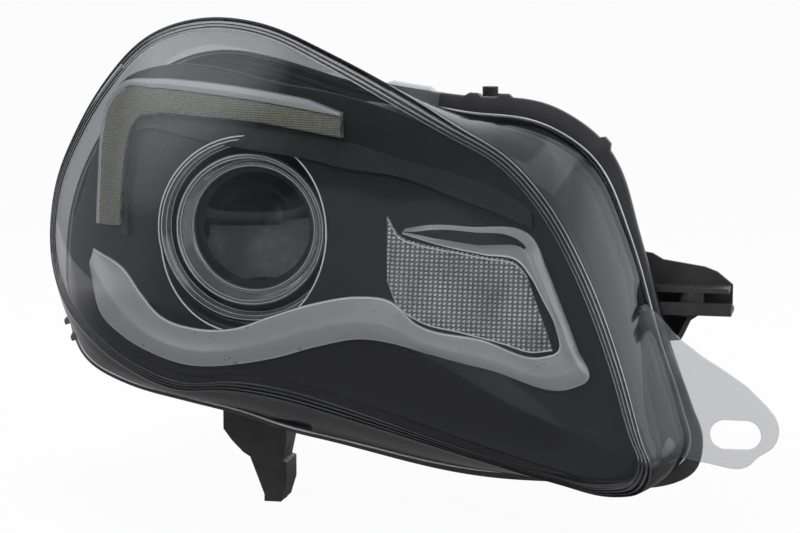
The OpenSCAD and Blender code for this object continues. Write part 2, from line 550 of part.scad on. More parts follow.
module turn_lens() color([0.8, 0.8, 0.82, 0.5]) {
    a = open_curve(fit_all(TURN_TOP), 8);
    b = open_curve(fit_all(TURN_LOW), 8);
    loft([for (i = [0:len(a) - 1]) let (lift = flute_h * (i % 2)) strip_ring(a[i], b[i], -stand - turn_t,
        [lift, lift, lift], turn_t)]);
}
turn_neck_y = ring_y + 46;
turn_rim = loop(open_curve(fit_all(TURN_TOP), 2), open_curve(fit_all(TURN_LOW), 2));
function cone_ring(w, y, t) = let (c = [turn_x, turn_up])
    [for (e = turn_rim) let (d = unit(e - c), q = mix(e, c + (neck_r + t) * d, w) + t * (1 - w) * d)
        [q[0], mix(bezel_at(e) + bezel_t + stand, turn_neck_y, y), q[1]]];
module turn_reflector() color([0.80, 0.81, 0.83])
    hoop(concat([for (k = [[1, 1.08], [0.82, 0.62], [0.5, 0.38], [0.2, 0.14], [0.02, 0]])
        cone_ring(k[0], k[1], 2)],
        [for (k = [[0.02, 0], [0.2, 0.16], [0.5, 0.41], [0.82, 0.65], [1, 1.08]])
        cone_ring(k[0], k[1], 0)]));

// ================= projector =================
module projector_glass() color([0.8, 0.85, 0.88, 0.4]) at_projector(apex_y) {
    ball = (glass_r^2 + glass_h^2) / (2 * glass_h);
    rotate_extrude($fn = 96) polygon(concat([[0, glass_h + glass_edge], [0, 0]],
        [for (a = [6:6:72]) let (r = ball * sin(a)) if (r < glass_r - 0.5) [r, ball * (1 - cos(a))]],
        [[glass_r, glass_h], [glass_r, glass_h + glass_edge]]));
}
module lens_holder() color([0.62, 0.63, 0.65]) difference() {
    at_projector(glass_y - 2) rotate_extrude($fn = 96) {
        h = holder_y - glass_y + 2;
        polygon([[glass_r - 1, 0], [holder_r, 0], [holder_r, 14], [holder_r + 4.5, h], [flange_r, h],
            [flange_r, h + flange_t], [bowl_r, h + flange_t], [bowl_r, h - 2], [holder_r - 2.4, 14],
            [glass_r + seat_gap, 6.5], [glass_r + seat_gap, 1.9]]);
    }
    for (a = [90, 210, 330]) at_projector(glass_y + 14) rotate([0, 0, a]) translate([holder_r - 6, -14, 0])
        cube([16, 28, holder_y - glass_y - 20]);
    for (p = flange_holes) along_y(p[0], holder_y - 8, p[1]) cylinder(h = 20, r = screw_hole);
}
screw_hole = 2.2;
screw_pcr = 52;
flange_holes = [for (a = [45:90:315]) [proj_x + screw_pcr * cos(a), proj_up + screw_pcr * sin(a)]];
module projector_ring() color([0.78, 0.79, 0.81]) at_projector(ring_y) {
    i = holder_r + seat_gap;
    o = ring_a_d / 2;
    rotate_extrude($fn = 96) polygon([[i - 0.9, 13], [i + 1.4, 8.5], [o - 2.4, 4.2], [o - 1.6, 2],
        [o - 0.6, 2], [o, 3], [o, 5.6], [i + 2.2, 13], [i + 2.2, 27], [i, 27], [i, 15]]);
}
module shutter_carrier() color([0.35, 0.36, 0.38]) difference() {
    union() {
        at_projector(carrier_y) cylinder(h = carrier_t, r = flange_r, $fn = 96);
        for (i = [-1, 1]) translate([proj_x + i * (flap_w / 2 + 3.2), flap_y - 3, proj_up - flap_h - 6])
            translate([-1.5, 0, 0]) cube([3, carrier_y - flap_y + 4, 10]);
    }
    at_projector(carrier_y - 1) difference() {
        cylinder(h = carrier_t + 2, r = bowl_r - 3, $fn = 96);
        translate([-60, 1, -1]) cube([120, 60, 10]);
    }
    for (p = flange_holes) along_y(p[0], carrier_y - 5, p[1]) cylinder(h = 20, r = screw_hole);
    translate([proj_x - 40, flap_y, proj_up - flap_h]) rotate([0, 90, 0]) cylinder(h = 80, r = pin_r + 0.03);
}
flap_w = 46;
flap_h = 24;
flap_t = 1.5;
flap_y = carrier_y - 8;
pin_r = 1.5;
module shutter_pin() color([0.75, 0.75, 0.77])
    translate([proj_x - flap_w / 2 - 6, flap_y, proj_up - flap_h]) rotate([0, 90, 0])
        cylinder(h = flap_w + 12, r = pin_r);
module shutter_flap() color([0.45, 0.45, 0.47]) difference() {
    union() {
        translate([proj_x, flap_y + pin_r, proj_up - flap_h]) rotate([-90, 0, 0]) linear_extrude(flap_t)
            polygon([[-flap_w / 2, 0], [flap_w / 2, 0], [flap_w / 2, -flap_h + 2], [2, -flap_h + 2],
                [-2, -flap_h + 4], [-flap_w / 2, -flap_h + 4]]);
        translate([proj_x - flap_w / 2, flap_y, proj_up - flap_h]) rotate([0, 90, 0])
            cylinder(h = flap_w, r = pin_r + 1.4);
    }
    translate([proj_x - 40, flap_y, proj_up - flap_h]) rotate([0, 90, 0]) cylinder(h = 80, r = pin_r + 0.06);
}
module shutter_solenoid() color([0.15, 0.15, 0.16]) {
    z1 = proj_up - flap_h - 5.6;
    translate([proj_x - 10, carrier_y - 14, z1 - 11]) cube([20, 14, 11]);
    translate([proj_x, carrier_y - 8, z1 - 1]) cylinder(h = 2.6, r = 3);
}
function bowl_profile(grow) = [for (a = [0:10:80]) let (r = (bowl_r + grow) * cos(a))
    if (r > bulb_neck + grow) [r, bowl_flange + (bowl_d + grow) * sin(a)]];
module projector_reflector() color([0.80, 0.81, 0.82]) difference() {
    at_projector(bowl_y) rotate_extrude($fn = 96) polygon(concat(
        [[bowl_r, 0], [flange_r, 0], [flange_r, bowl_flange], [bowl_r + bowl_t + 0.6, bowl_flange]],
        [for (p = bowl_profile(bowl_t)) p], [[bulb_neck + 5, bowl_flange + bowl_d], [bulb_neck + 5,
        bowl_flange + bowl_d + neck_l], [bulb_neck, bowl_flange + bowl_d + neck_l]],
        [for (i = [len(bowl_profile(0)) - 1:-1:0]) bowl_profile(0)[i]]));
    for (p = flange_holes) along_y(p[0], bowl_y - 5, p[1]) cylinder(h = 20, r = screw_hole);
}
bulb_y = bowl_end + neck_l + 0.2;
module xenon_bulb() color([0.85, 0.87, 0.9]) at_projector(bulb_y) {
    rotate_extrude() polygon([[0, -40], [2.2, -38], [3, -32], [5, -27], [5, -20], [3, -14], [5.4, -9],
        [bulb_neck - 1, -8], [bulb_neck - 1, 0], [18.6, 0], [18.6, 3], [12, 3], [12, 8.1], [0, 8.1]]);
    translate([0, 0, 8]) linear_extrude(23) {
        square([38, 30], center = true);
        square([30, 38], center = true);
        for (i = [-1, 1], j = [-1, 1]) translate([i * 15, j * 15]) circle(4);
    }
}
module bulb_retainer() color([0.7, 0.7, 0.72]) at_projector(bulb_y - 6) {
    difference() {
        union() {
            cylinder(h = 11.6, r = 23);
            for (a = [0, 120, 240]) rotate([0, 0, a]) translate([21, -4, 1]) cube([5, 8, 8]);
        }
        translate([0, 0, -1]) cylinder(h = 10.4, r = 19 + run_gap);
        translate([0, 0, -1]) cylinder(h = 20, r = 14);
    }
}
module projector_screws() color([0.6, 0.6, 0.62]) for (p = flange_holes) {
    along_y(p[0], holder_y - 3, p[1]) cylinder(h = 3, r = 3.6);
    along_y(p[0], holder_y - 0.4, p[1]) cylinder(h = frame_y - holder_y + 5, r = 1.9);
}

// ================= carrier frame and aiming =================
frame_bore = bowl_r + bowl_t + 4;
socket_r = ball_r + ball_gap + 3;
cup_r = ball_r + 3.2;
cup_w = 16;
module arm_plate(x, z, w) {
    // tapered web from the frame's ring out to a pivot
    d = unit([x - proj_x, z - proj_up]);
    s = [-d[1], d[0]];
    c = [proj_x, proj_up];
    translate([0, frame_y, 0]) rotate([90, 0, 0]) mirror([0, 0, 1]) linear_extrude(frame_t)
        polygon([c + 52 * d + 26 * s, [x, z] + w * s, [x, z] + w * s + (w / 2) * d,
            [x, z] - w * s + (w / 2) * d, [x, z] - w * s, c + 52 * d - 26 * s]);
}
module carrier_frame() color([0.12, 0.12, 0.13]) difference() {
    union() {
        at_projector(frame_y) cylinder(h = frame_t, r = flange_r + 3, $fn = 96);
        arm_plate(pivot_x, pivot_up, 12);
        arm_plate(aim_x, pivot_up, 10);
        arm_plate(pivot_x, level_z, 10);
        translate([pivot_x - cup_w / 2, pivot_y, pivot_up]) rotate([0, 90, 0])
            cylinder(h = cup_w, r = cup_r + 3);
        for (p = [[aim_x, pivot_up], [pivot_x, level_z]]) along_y(p[0], pivot_y, p[1]) sphere(socket_r + 1);
    }
    at_projector(frame_y - 1) cylinder(h = frame_t + 2, r = frame_bore, $fn = 96);
    translate([pivot_x - cup_w, pivot_y, pivot_up]) rotate([0, 90, 0])
        cylinder(h = 2 * cup_w, r = cup_r + run_gap);
    translate([pivot_x - 8, pivot_y, pivot_up - 7.5]) cube([16.1, 30, 15]);
    for (p = [[aim_x, pivot_up], [pivot_x, level_z]]) {
        along_y(p[0], pivot_y, p[1]) sphere(ball_r + ball_gap);
        along_y(p[0], pivot_y, p[1]) cylinder(h = 20, r = rod_r + 1.2);
        translate([p[0] - 20, pivot_y + 4.2, p[1] - 20]) cube(40);
    }
    for (p = flange_holes) along_y(p[0], frame_y - 5, p[1]) cylinder(h = 20, r = screw_hole);
}
stud_r = 5;
stud_y1 = back_y(pivot_x) - wall_t;
module pivot_stud() color([0.7, 0.7, 0.72]) {
    along_y(pivot_x, pivot_y, pivot_up) sphere(ball_r);
    along_y(pivot_x, pivot_y, pivot_up) cylinder(h = stud_y1 - pivot_y, r = rod_r - 0.4);
    along_y(pivot_x, stud_y1 - 22, pivot_up) cylinder(h = 9.8, r = stud_r + 2);
    along_y(pivot_x, stud_y1 - 13, pivot_up) cylinder(h = 13, r = stud_r);
}
module pivot_cup() color([0.85, 0.85, 0.82]) difference() {
    translate([pivot_x - cup_w / 2, pivot_y, pivot_up]) rotate([0, 90, 0]) cylinder(h = cup_w, r = cup_r);
    along_y(pivot_x, pivot_y, pivot_up) sphere(ball_r + run_gap);
    along_y(pivot_x, pivot_y, pivot_up) cylinder(h = 20, r = rod_r + 0.8);
}
motor_y0 = pivot_y + 32;
motor_y1 = motor_y0 + 48;
motor_posts = [[pivot_x - 15, level_z - 12], [pivot_x + 11, level_z - 12], [pivot_x - 15, level_z + 19]];
adjuster_r = 3.6;
module levelling_motor() color([0.10, 0.10, 0.11]) difference() {
    union() {
        translate([pivot_x, motor_y0 + 6, level_z]) pad(36, 34, motor_y1 - motor_y0 - 8, 5);
        along_y(pivot_x, motor_y0, level_z) cylinder(h = 10, r = 9);
        translate([pivot_x - 2, motor_y1 - 3, level_z + 4]) pad(38, 44, 3, 8);
        translate([pivot_x + 18, motor_y0 + 14, level_z]) rotate([0, 90, 0]) cylinder(h = 4, r = 8);
    }
    along_y(pivot_x, motor_y0 - 1, level_z) cylinder(h = 44, r = rod_r + run_gap);
    along_y(pivot_x, motor_y1 - 4, level_z) cylinder(h = 10, r = adjuster_r + run_gap);
    for (p = motor_posts) along_y(p[0], motor_y1 - 14, p[1]) cylinder(h = 20, r = screw_hole);
    for (p = motor_posts) along_y(p[0], motor_y0, p[1]) cylinder(h = 45, r = 4.4);
}
module motor_screws() color([0.6, 0.6, 0.62]) for (p = motor_posts) {
    along_y(p[0], motor_y1 - 6, p[1]) cylinder(h = 2.8, r = 3.4);
    along_y(p[0], motor_y1 - 4, p[1]) cylinder(h = 12, r = 1.6);
}
module levelling_spindle() color([0.8, 0.8, 0.78]) {
    along_y(pivot_x, pivot_y, level_z) sphere(ball_r);
    along_y(pivot_x, pivot_y, level_z) cylinder(h = 60, r = rod_r);
}
module height_adjuster() color([0.85, 0.85, 0.82]) {
    y1 = back_y(pivot_x) + 6.2;
    along_y(pivot_x, motor_y1 - 3.6, level_z) cylinder(h = y1 - motor_y1 + 4, r = adjuster_r);
    along_y(pivot_x, y1, level_z) cylinder(h = 2, r = 8);
    along_y(pivot_x, y1 + 2, level_z) cylinder(h = 7, r = 5.5, $fn = 6);
}
module aim_slider() color([0.8, 0.8, 0.78]) {
    along_y(aim_x, pivot_y, pivot_up) sphere(ball_r);
    along_y(aim_x, pivot_y, pivot_up) cylinder(h = 48, r = rod_r);
}
screw_r = 7;
screw_y0 = pivot_y + 24;
gear_r = gear_mod * gear_teeth / 2;
pinion_r = gear_mod * pinion_teeth / 2;
screw_gear_y = back_y(aim_x) + 17;
screw_axis_y = screw_gear_y + pinion_r;
knob_z = pivot_up + gear_r + 28;
knob_shaft_r = 4;
face_w = 4;
module bevel(teeth, r, other_r) {
    // straight bevel gear on +Z: its large end at z = 0, its teeth running towards the apex at z = other_r
    cone = norm([r, other_r]);
    k = (cone - face_w) / cone;
    cylinder(h = other_r * (1 - k), r1 = r - gear_mod * 1.25, r2 = (r - gear_mod * 1.25) * k);
    translate([0, 0, -3]) cylinder(h = 3.01, r = r - gear_mod * 1.4);
    for (i = [0:teeth - 1]) rotate([0, 0, 360 * i / teeth]) {
        half = 360 / teeth * 0.19;
        tip = half * 0.5;
        ri = r - gear_mod * 1.6;
        ro = r + gear_mod * 0.8;
        q = [[ri * cos(half * 1.3), -ri * sin(half * 1.3)], [r * cos(half), -r * sin(half)],
            [ro * cos(tip), -ro * sin(tip)], [ro * cos(tip), ro * sin(tip)],
            [r * cos(half), r * sin(half)], [ri * cos(half * 1.3), ri * sin(half * 1.3)]];
        loft([[for (p = q) [p[0], p[1], 0]], [for (p = q) [p[0] * k, p[1] * k, other_r * (1 - k)]]]);
    }
}
module aim_screw() color([0.82, 0.82, 0.80]) difference() {
    union() {
        along_y(aim_x, screw_y0, pivot_up) cylinder(h = screw_gear_y - screw_y0, r = screw_r);
        along_y(aim_x, screw_gear_y, pivot_up) bevel(gear_teeth, gear_r, pinion_r);
    }
    along_y(aim_x, screw_y0 - 1, pivot_up) cylinder(h = 60, r = rod_r + run_gap);
}
module aim_knob() color([0.10, 0.10, 0.11]) {
    z0 = pivot_up + gear_r;
    translate([aim_x, screw_axis_y, z0]) mirror([0, 0, 1]) rotate([0, 0, 90 + 180 / pinion_teeth])
        bevel(pinion_teeth, pinion_r, gear_r);
    translate([aim_x, screw_axis_y, z0]) cylinder(h = knob_z - z0, r = knob_shaft_r);
    translate([aim_x, screw_axis_y, knob_z]) {
        cylinder(h = 4, r = 11.5);
        for (a = [0:30:330]) rotate([0, 0, a]) translate([10.4, 0, 0]) cylinder(h = 6, r = 1.7);
        cylinder(h = 11.5, r = 5.5);
    }
}

// ================= rear side =================
cover_in = service_r + wall_t + run_gap;
module rear_cover() color([0.07, 0.07, 0.075]) at_projector(bay_end) {
    y0 = 3.4;
    y1 = collar_h + 0.3;
    rotate_extrude($fn = 96) polygon([[cover_in, y0], [cover_in + 3, y0], [cover_in + 3, y1 + 1.6],
        [cover_in, y1 + 4], [24, y1 + 7], [0, y1 + 8], [0, y1 + 5], [24, y1 + 4.4], [cover_in - 6, y1 + 1.4],
        [cover_in - 6, y1], [cover_in, y1]]);
    for (a = [0:15:345]) rotate([0, 0, a]) translate([cover_in + 2.6, -1.2, y0 + 2])
        cube([1.6, 2.4, y1 - y0 - 2]);
    translate([-32, -2.5, y1 + 4]) cube([64, 5, 10]);
}
module rear_cover_seal() color([0.12, 0.12, 0.12]) at_projector(bay_end) difference() {
    translate([0, 0, 0.05]) cylinder(h = 3.2, r = cover_in + 3, $fn = 96);
    translate([0, 0, -1]) cylinder(h = 6, r = service_r + wall_t + 0.05, $fn = 96);
}
turn_body_r = 20;
turn_collar = turn_body_r + 4;
turn_end = back_y(turn_x) + 10;
module turn_holder_seal() color([0.55, 0.12, 0.08]) along_y(turn_x, turn_end + 0.05, turn_up) difference() {
    cylinder(h = 2, r = turn_collar - 0.5);
    translate([0, 0, -1]) cylinder(h = 4, r = turn_body_r + 0.1);
}
module turn_bulb_holder() color([0.75, 0.75, 0.72]) along_y(turn_x, turn_neck_y + 3, turn_up) {
    l = turn_end - turn_neck_y - 3;
    difference() {
        union() {
            cylinder(h = l, r = neck_r - 3.4);
            translate([0, 0, l - 20]) cylinder(h = 20 + 2.1, r = turn_body_r);
            translate([0, 0, l + 2.1]) cylinder(h = 4, r = turn_collar);
            translate([0, 0, l + 6.1]) cylinder(h = 10, r = 15);
            for (a = [0, 180]) rotate([0, 0, a]) translate([-3, 10, l + 6.1]) cube([6, 12, 10]);
        }
        translate([0, 0, -1]) cylinder(h = 15, r = 8);
        translate([0, 0, l + 8]) linear_extrude(12) square([16, 9], center = true);
    }
}
module turn_bulb() color([0.95, 0.55, 0.15]) along_y(turn_x, turn_neck_y - 26, turn_up) {
    translate([0, 0, 9]) sphere(9.5);
    translate([0, 0, 9]) cylinder(h = 14, r1 = 9.5, r2 = 7.6);
    translate([0, 0, 23]) cylinder(h = 19.8, r = 7.6);
}
plug_x = -100;
plug_z = -38;
module main_connector() color([0.09, 0.09, 0.10]) on_back(plug_x, plug_z) difference() {
    union() {
        translate([0, 0.05, 0]) pad(50, 30, 4, 4);
        translate([0, 4, 0]) pad(38, 22, 18, 3);
        translate([0, -7.9, 0]) pad(33.6, 13.6, 8, 2);
    }
    translate([0, 6, 0]) pad(33, 17, 30, 2);
    for (i = [0:5], j = [-1, 1]) translate([(i - 2.5) * 5, -9, j * 3.4]) rotate([-90, 0, 0])
        cylinder(h = 20, r = 0.85);
}
module connector_pins() color([0.80, 0.68, 0.40]) on_back(plug_x, plug_z)
    for (i = [0:5], j = [-1, 1]) translate([(i - 2.5) * 5, -7, j * 3.4]) rotate([-90, 0, 0])
        cylinder(h = 24, r = 0.8);
ballast_x = -214;
ballast_z = -47;
ballast_w = 84;
ballast_h = 42;
ballast_screw_at = [for (i = [-1, 1], j = [-1, 1]) [i * (ballast_w / 2 - 5), j * (ballast_h / 2 - 5)]];
module ballast_gasket() color([0.15, 0.15, 0.15]) on_back(ballast_x, ballast_z) difference() {
    translate([0, 0.05, 0]) pad(ballast_w, ballast_h, 1.5, 5);
    translate([0, -1, 0]) pad(ballast_w - 20, ballast_h - 20, 5, 3);
    for (p = ballast_screw_at) translate([p[0], -1, p[1]]) rotate([-90, 0, 0]) cylinder(h = 5, r = 2);
}
module ballast() color([0.70, 0.71, 0.72]) on_back(ballast_x, ballast_z) difference() {
    union() {
        translate([0, 1.6, 0]) pad(ballast_w, ballast_h, 4, 5);
        translate([0, 5.6, 0]) pad(ballast_w - 22, ballast_h - 4, 12, 4);
        for (i = [-4:4]) translate([i * 6.4 - 1, 17, -ballast_h / 2 + 5]) cube([2, 5, ballast_h - 10]);
    }
    for (p = ballast_screw_at) translate([p[0], -1, p[1]]) rotate([-90, 0, 0]) cylinder(h = 20, r = 2);
}
module ballast_screws() color([0.6, 0.6, 0.62]) on_back(ballast_x, ballast_z)
    for (p = ballast_screw_at) translate([p[0], 0.1, p[1]]) rotate([-90, 0, 0]) {
        cylinder(h = 5.8, r = 1.7);
        translate([0, 0, 5.7]) cylinder(h = 2.6, r = 3.6);
    }
driver_x = proj_x + bay_r + 40;
driver_z = 30;
driver_screw_at = [[-25, 0], [25, 0]];
module led_driver() color([0.10, 0.10, 0.11]) on_back(driver_x, driver_z) difference() {
    union() {
        translate([0, 0.05, 0]) pad(60, 20, 2.5, 5);
        translate([0, 0.05, 0]) pad(40, 32, 12, 3);
        translate([0, 12, 0]) pad(24, 12, 9, 2);
    }
    translate([0, 13, 0]) pad(20, 8, 20, 1);
    for (p = driver_screw_at) translate([p[0], -1, p[1]]) rotate([-90, 0, 0]) cylinder(h = 20, r = 2);
}
module driver_screws() color([0.6, 0.6, 0.62]) on_back(driver_x, driver_z)
    for (p = driver_screw_at) translate([p[0], 0.1, p[1]]) rotate([-90, 0, 0]) {
        cylinder(h = 2.8, r = 1.7);
        translate([0, 0, 2.6]) cylinder(h = 2.6, r = 3.6);
    }
vent_at = [[-388, 22], [-112, 50]];
module vent_caps() color([0.14, 0.14, 0.15]) for (p = vent_at) on_back(p[0], p[1]) {
    translate([0, 0.05, 0]) rotate([-90, 0, 0]) cylinder(h = 5, r = 5);
    translate([0, 5, 0]) rotate([-90, 0, 0]) cylinder(h = 7, r = 9);
    for (a = [0:45:315]) translate([0, 5, 0]) rotate([-90, a, 0]) translate([8.4, -1, 0]) cube([1.6, 2, 6]);
}

// ================= mounting pieces =================
module arm_sleeve() color([0.75, 0.75, 0.77]) difference() {
    translate([0, 0, -sleeve_down]) cylinder(h = sleeve_up + sleeve_down, r = sleeve_r);
    translate([0, 0, -sleeve_down - 1]) cylinder(h = sleeve_up + sleeve_down + 2, r = bolt_r);
}
module leg_insert() color([0.80, 0.68, 0.40]) difference() {
    translate([-291, leg_y, -leg_down]) cylinder(h = insert_l - 0.2, r = sleeve_r - 0.8);
    translate([-291, leg_y, -leg_down - 1]) cylinder(h = insert_l - 1, r = insert_r);
}
module ear_bracket() color([0.06, 0.06, 0.065]) on_back(-392, -18) difference() {
    union() {
        translate([0, 0.05, 0]) pad(30, 26, 4, 4);
        translate([-24, 0.05, 0]) pad(30, 20, 4, 6);
        translate([-28, 0.05, 0]) rotate([-90, 0, 0]) cylinder(h = 14, r = sleeve_r + 4);
    }
    translate([-28, -1, 0]) rotate([-90, 0, 0]) cylinder(h = 20, r = sleeve_r + press_gap);
    for (j = [-1, 1]) translate([6, -1, j * 8]) rotate([-90, 0, 0]) cylinder(h = 20, r = 2);
}
module ear_screws() color([0.6, 0.6, 0.62]) on_back(-392, -18) for (j = [-1, 1])
    translate([6, 0.1, j * 8]) rotate([-90, 0, 0]) {
        cylinder(h = 4.2, r = 1.7);
        translate([0, 0, 4.1]) cylinder(h = 2.6, r = 3.6);
    }
module ear_sleeve() color([0.75, 0.75, 0.77]) on_back(-392, -18)
    translate([-28, 0.05, 0]) rotate([-90, 0, 0]) difference() {
        cylinder(h = 14, r = sleeve_r);
        translate([0, 0, -1]) cylinder(h = 20, r = bolt_r);
    }

housing();
housing_back();
inner_arm();
lower_leg();
outer_lens();
lens_tab();
lens_seal();
main_bezel();
bezel_ring();
drl_light_guide();
drl_trim();
drl_led_board();
wing_trim();
wing_insert();
turn_lens();
turn_reflector();
turn_bulb();
turn_bulb_holder();
turn_holder_seal();
projector_glass();
projector_ring();
lens_holder();
projector_reflector();
shutter_carrier();
shutter_flap();
shutter_pin();
shutter_solenoid();
xenon_bulb();
bulb_retainer();
projector_screws();
carrier_frame();
pivot_stud();
pivot_cup();
levelling_motor();
levelling_spindle();
height_adjuster();
motor_screws();
aim_slider();
aim_screw();
aim_knob();
rear_cover();
rear_cover_seal();
ballast();
ballast_gasket();
ballast_screws();
led_driver();
driver_screws();
main_connector();
connector_pins();
vent_caps();
arm_sleeve();
leg_insert();
ear_sleeve();
ear_bracket();
ear_screws();
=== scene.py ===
import json
import math
import bmesh
import bpy
import numpy as np
from mathutils import Matrix, Vector


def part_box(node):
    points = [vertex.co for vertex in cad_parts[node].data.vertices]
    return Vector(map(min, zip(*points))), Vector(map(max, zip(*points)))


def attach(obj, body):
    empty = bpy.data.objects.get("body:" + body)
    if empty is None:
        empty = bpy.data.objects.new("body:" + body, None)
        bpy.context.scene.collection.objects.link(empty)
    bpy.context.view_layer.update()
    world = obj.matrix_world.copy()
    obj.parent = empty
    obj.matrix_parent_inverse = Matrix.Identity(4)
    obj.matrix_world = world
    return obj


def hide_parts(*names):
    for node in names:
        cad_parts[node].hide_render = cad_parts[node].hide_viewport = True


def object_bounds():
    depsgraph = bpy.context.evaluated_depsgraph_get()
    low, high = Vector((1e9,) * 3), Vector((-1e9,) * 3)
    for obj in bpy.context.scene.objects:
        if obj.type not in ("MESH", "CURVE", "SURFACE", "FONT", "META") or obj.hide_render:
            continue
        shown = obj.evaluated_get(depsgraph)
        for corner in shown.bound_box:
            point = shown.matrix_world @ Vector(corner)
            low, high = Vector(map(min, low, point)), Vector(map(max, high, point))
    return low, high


# Dressed model of the car headlight. Shapes are worked out in millimetres and written in metres.
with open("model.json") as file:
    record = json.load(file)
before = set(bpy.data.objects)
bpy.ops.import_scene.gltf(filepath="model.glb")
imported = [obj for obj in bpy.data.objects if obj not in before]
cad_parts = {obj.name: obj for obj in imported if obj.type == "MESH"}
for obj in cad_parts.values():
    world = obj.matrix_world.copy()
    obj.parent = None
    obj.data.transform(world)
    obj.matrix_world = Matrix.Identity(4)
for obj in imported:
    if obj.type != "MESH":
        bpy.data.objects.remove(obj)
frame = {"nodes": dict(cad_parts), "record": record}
start_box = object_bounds()
node = frame["nodes"]
record = frame["record"]
body_of = {part: body for body, parts in record["behaviour"]["bodies"].items() for part in parts}
scene = bpy.context.scene
MM = 0.001


def box_mm(name):
    low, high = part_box(name)
    return np.array(low) / MM, np.array(high) / MM


low, high = box_mm("bezel_ring")
proj_x, ring_y, proj_z = (low[0] + high[0]) / 2, low[1], (low[2] + high[2]) / 2
low, high = box_mm("turn_bulb")
turn_x, turn_z = (low[0] + high[0]) / 2, (low[2] + high[2]) / 2

# ---------------------------------------------------------------- camera
AZIMUTH, ELEVATION = math.radians(12.0), math.radians(8.3)
FOCAL_LENGTH, SENSOR_WIDTH, FAR_END = 110, 36, 100
CAMERA_AT = (0.13858, -1.55115, 0.24334)
camera = bpy.data.objects.new("camera", bpy.data.cameras.new("camera"))
camera.data.lens, camera.data.sensor_width = FOCAL_LENGTH, SENSOR_WIDTH
camera.data.clip_end = FAR_END
camera.location = CAMERA_AT
look = Vector((-math.sin(AZIMUTH) * math.cos(ELEVATION), math.cos(AZIMUTH) * math.cos(ELEVATION),
    -math.sin(ELEVATION)))
camera.rotation_euler = look.to_track_quat("-Z", "Y").to_euler()
scene.collection.objects.link(camera)
scene.camera = camera
scene.view_settings.view_transform = "Standard"

# ---------------------------------------------------------------- curves and the lens surface
# the lens's ridge and its seam in front view, from the lower inner corner round the wing and back
RIDGE = np.array([[-14, -97], [-20, -109], [-36, -113], [-72, -107], [-122, -96], [-223, -75],
    [-262, -69], [-300, -67], [-335, -70], [-372, -62], [-412, -45], [-446, -20], [-464, 12],
    [-466, 46], [-448, 88], [-424, 123], [-388, 156], [-340, 171], [-290, 169], [-236, 151],
    [-144, 109], [-109, 91], [-82, 64], [-56, 21], [-32, -39], [-20, -79]], float)
SEAM = np.array([[3, -92], [-1, -101], [-14, -108], [-66, -112], [-129, -114], [-230, -100],
    [-267, -95], [-300, -88], [-341, -82], [-386, -76], [-426, -64], [-448, -44], [-461, -14],
    [-464, 20], [-450, 60], [-424, 98], [-385, 130], [-339, 144], [-292, 140], [-241, 128],
    [-150, 113], [-99, 108], [-63, 87], [-38, 38], [-17, -28], [-2, -70]], float)
MID = np.array([-236.0, 25.0])
ROUND, EASE = 20, 3
# the lens face is an ellipse in plan, raked back upwards, with a crown
LENS_FWD, SWEEP_R, SWEEP_D = 94, 492.0, 225
RAKE_IN, RAKE_GAIN, RAKE_LOW, RAKE_RISE = 0.10, 0.35, 115, 65
CROWN_IN, CROWN_GAIN, CROWN_POWER = 16, 26, 2.4
WALL, WALL_TAPER, LENS_T = 60.0, 0.5, 2.8
# gap between lens and bezel in the middle and near the ridge, and the share of the way to the latter
BEZEL_GAP, EDGE_GAP, BEZEL_SHARE = 22, 12.5, 0.94
# how far the bezel's edge stays inside the ridge, at each point of RIDGE
BEZEL_IN = np.array([11, 11, 11, 11, 11, 11, 11, 11, 11, 11, 12, 15, 21, 31, 24, 10, 28, 42, 42, 26, 11, 11,
    11, 11, 11, 11], float)
BEZEL_T, HUG_WITHIN, SIDE_GAP = 2.4, 11, 4
# housing wall, its channel for the lens's foot, and its rear wall
WALL_T, LIP_T, FOOT_D, SEAL_T, FOOT_GAP, SEAT_GAP = 2.6, 3.2, 9.0, 2.9, 0.8, 0.3
BACK_IN, BACK_SLOPE, BACK_SCALE = 58.0, 0.306, 0.77
RIM_IN = -LENS_T - FOOT_GAP - LIP_T
SKIRT, SKIRT_D = RIM_IN - SEAT_GAP, 12


def length(v):
    return np.linalg.norm(v, axis=-1, keepdims=True)


def unit(v):
    return v / np.maximum(length(v), 1e-12)


def mix(a, b, t):
    return a + (b - a) * t


def curve(points, m, closed=False):
    """smooth curve through the points, with m steps between two of them"""
    p = np.asarray(points, float)
    if closed:
        before, after = p - np.roll(p, 1, 0), np.roll(p, -1, 0) - p
        d = unit(unit(before) * length(after) + unit(after) * length(before))
        a, b, d0, d1 = p, np.roll(p, -1, 0), d, np.roll(d, -1, 0)
    else:
        e = p[1:] - p[:-1]
        inner = unit(unit(e[:-1]) * length(e[1:]) + unit(e[1:]) * length(e[:-1]))
        d = np.vstack([unit(e[:1]), inner, unit(e[-1:])])
        a, b, d0, d1 = p[:-1], p[1:], d[:-1], d[1:]
    chord = length(b - a)
    out = []
    for t in np.arange(m) / m:
        out.append((2 * t**3 - 3 * t**2 + 1) * a + (t**3 - 2 * t**2 + t) * chord * d0
            + (3 * t**2 - 2 * t**3) * b + (t**3 - t**2) * chord * d1)
    out = np.stack(out, 1).reshape(-1, p.shape[1])
    return out if closed else np.vstack([out, p[-1:]])


def eased(p, spread):
    """evens out the bends of a closed curve, so that gloss runs along it without breaks"""
    k = np.arange(-3 * spread, 3 * spread + 1)
    w = np.exp(-0.5 * (k / spread) ** 2)
    return sum(np.roll(p, -int(j), 0) * v for j, v in zip(k, w / w.sum()))


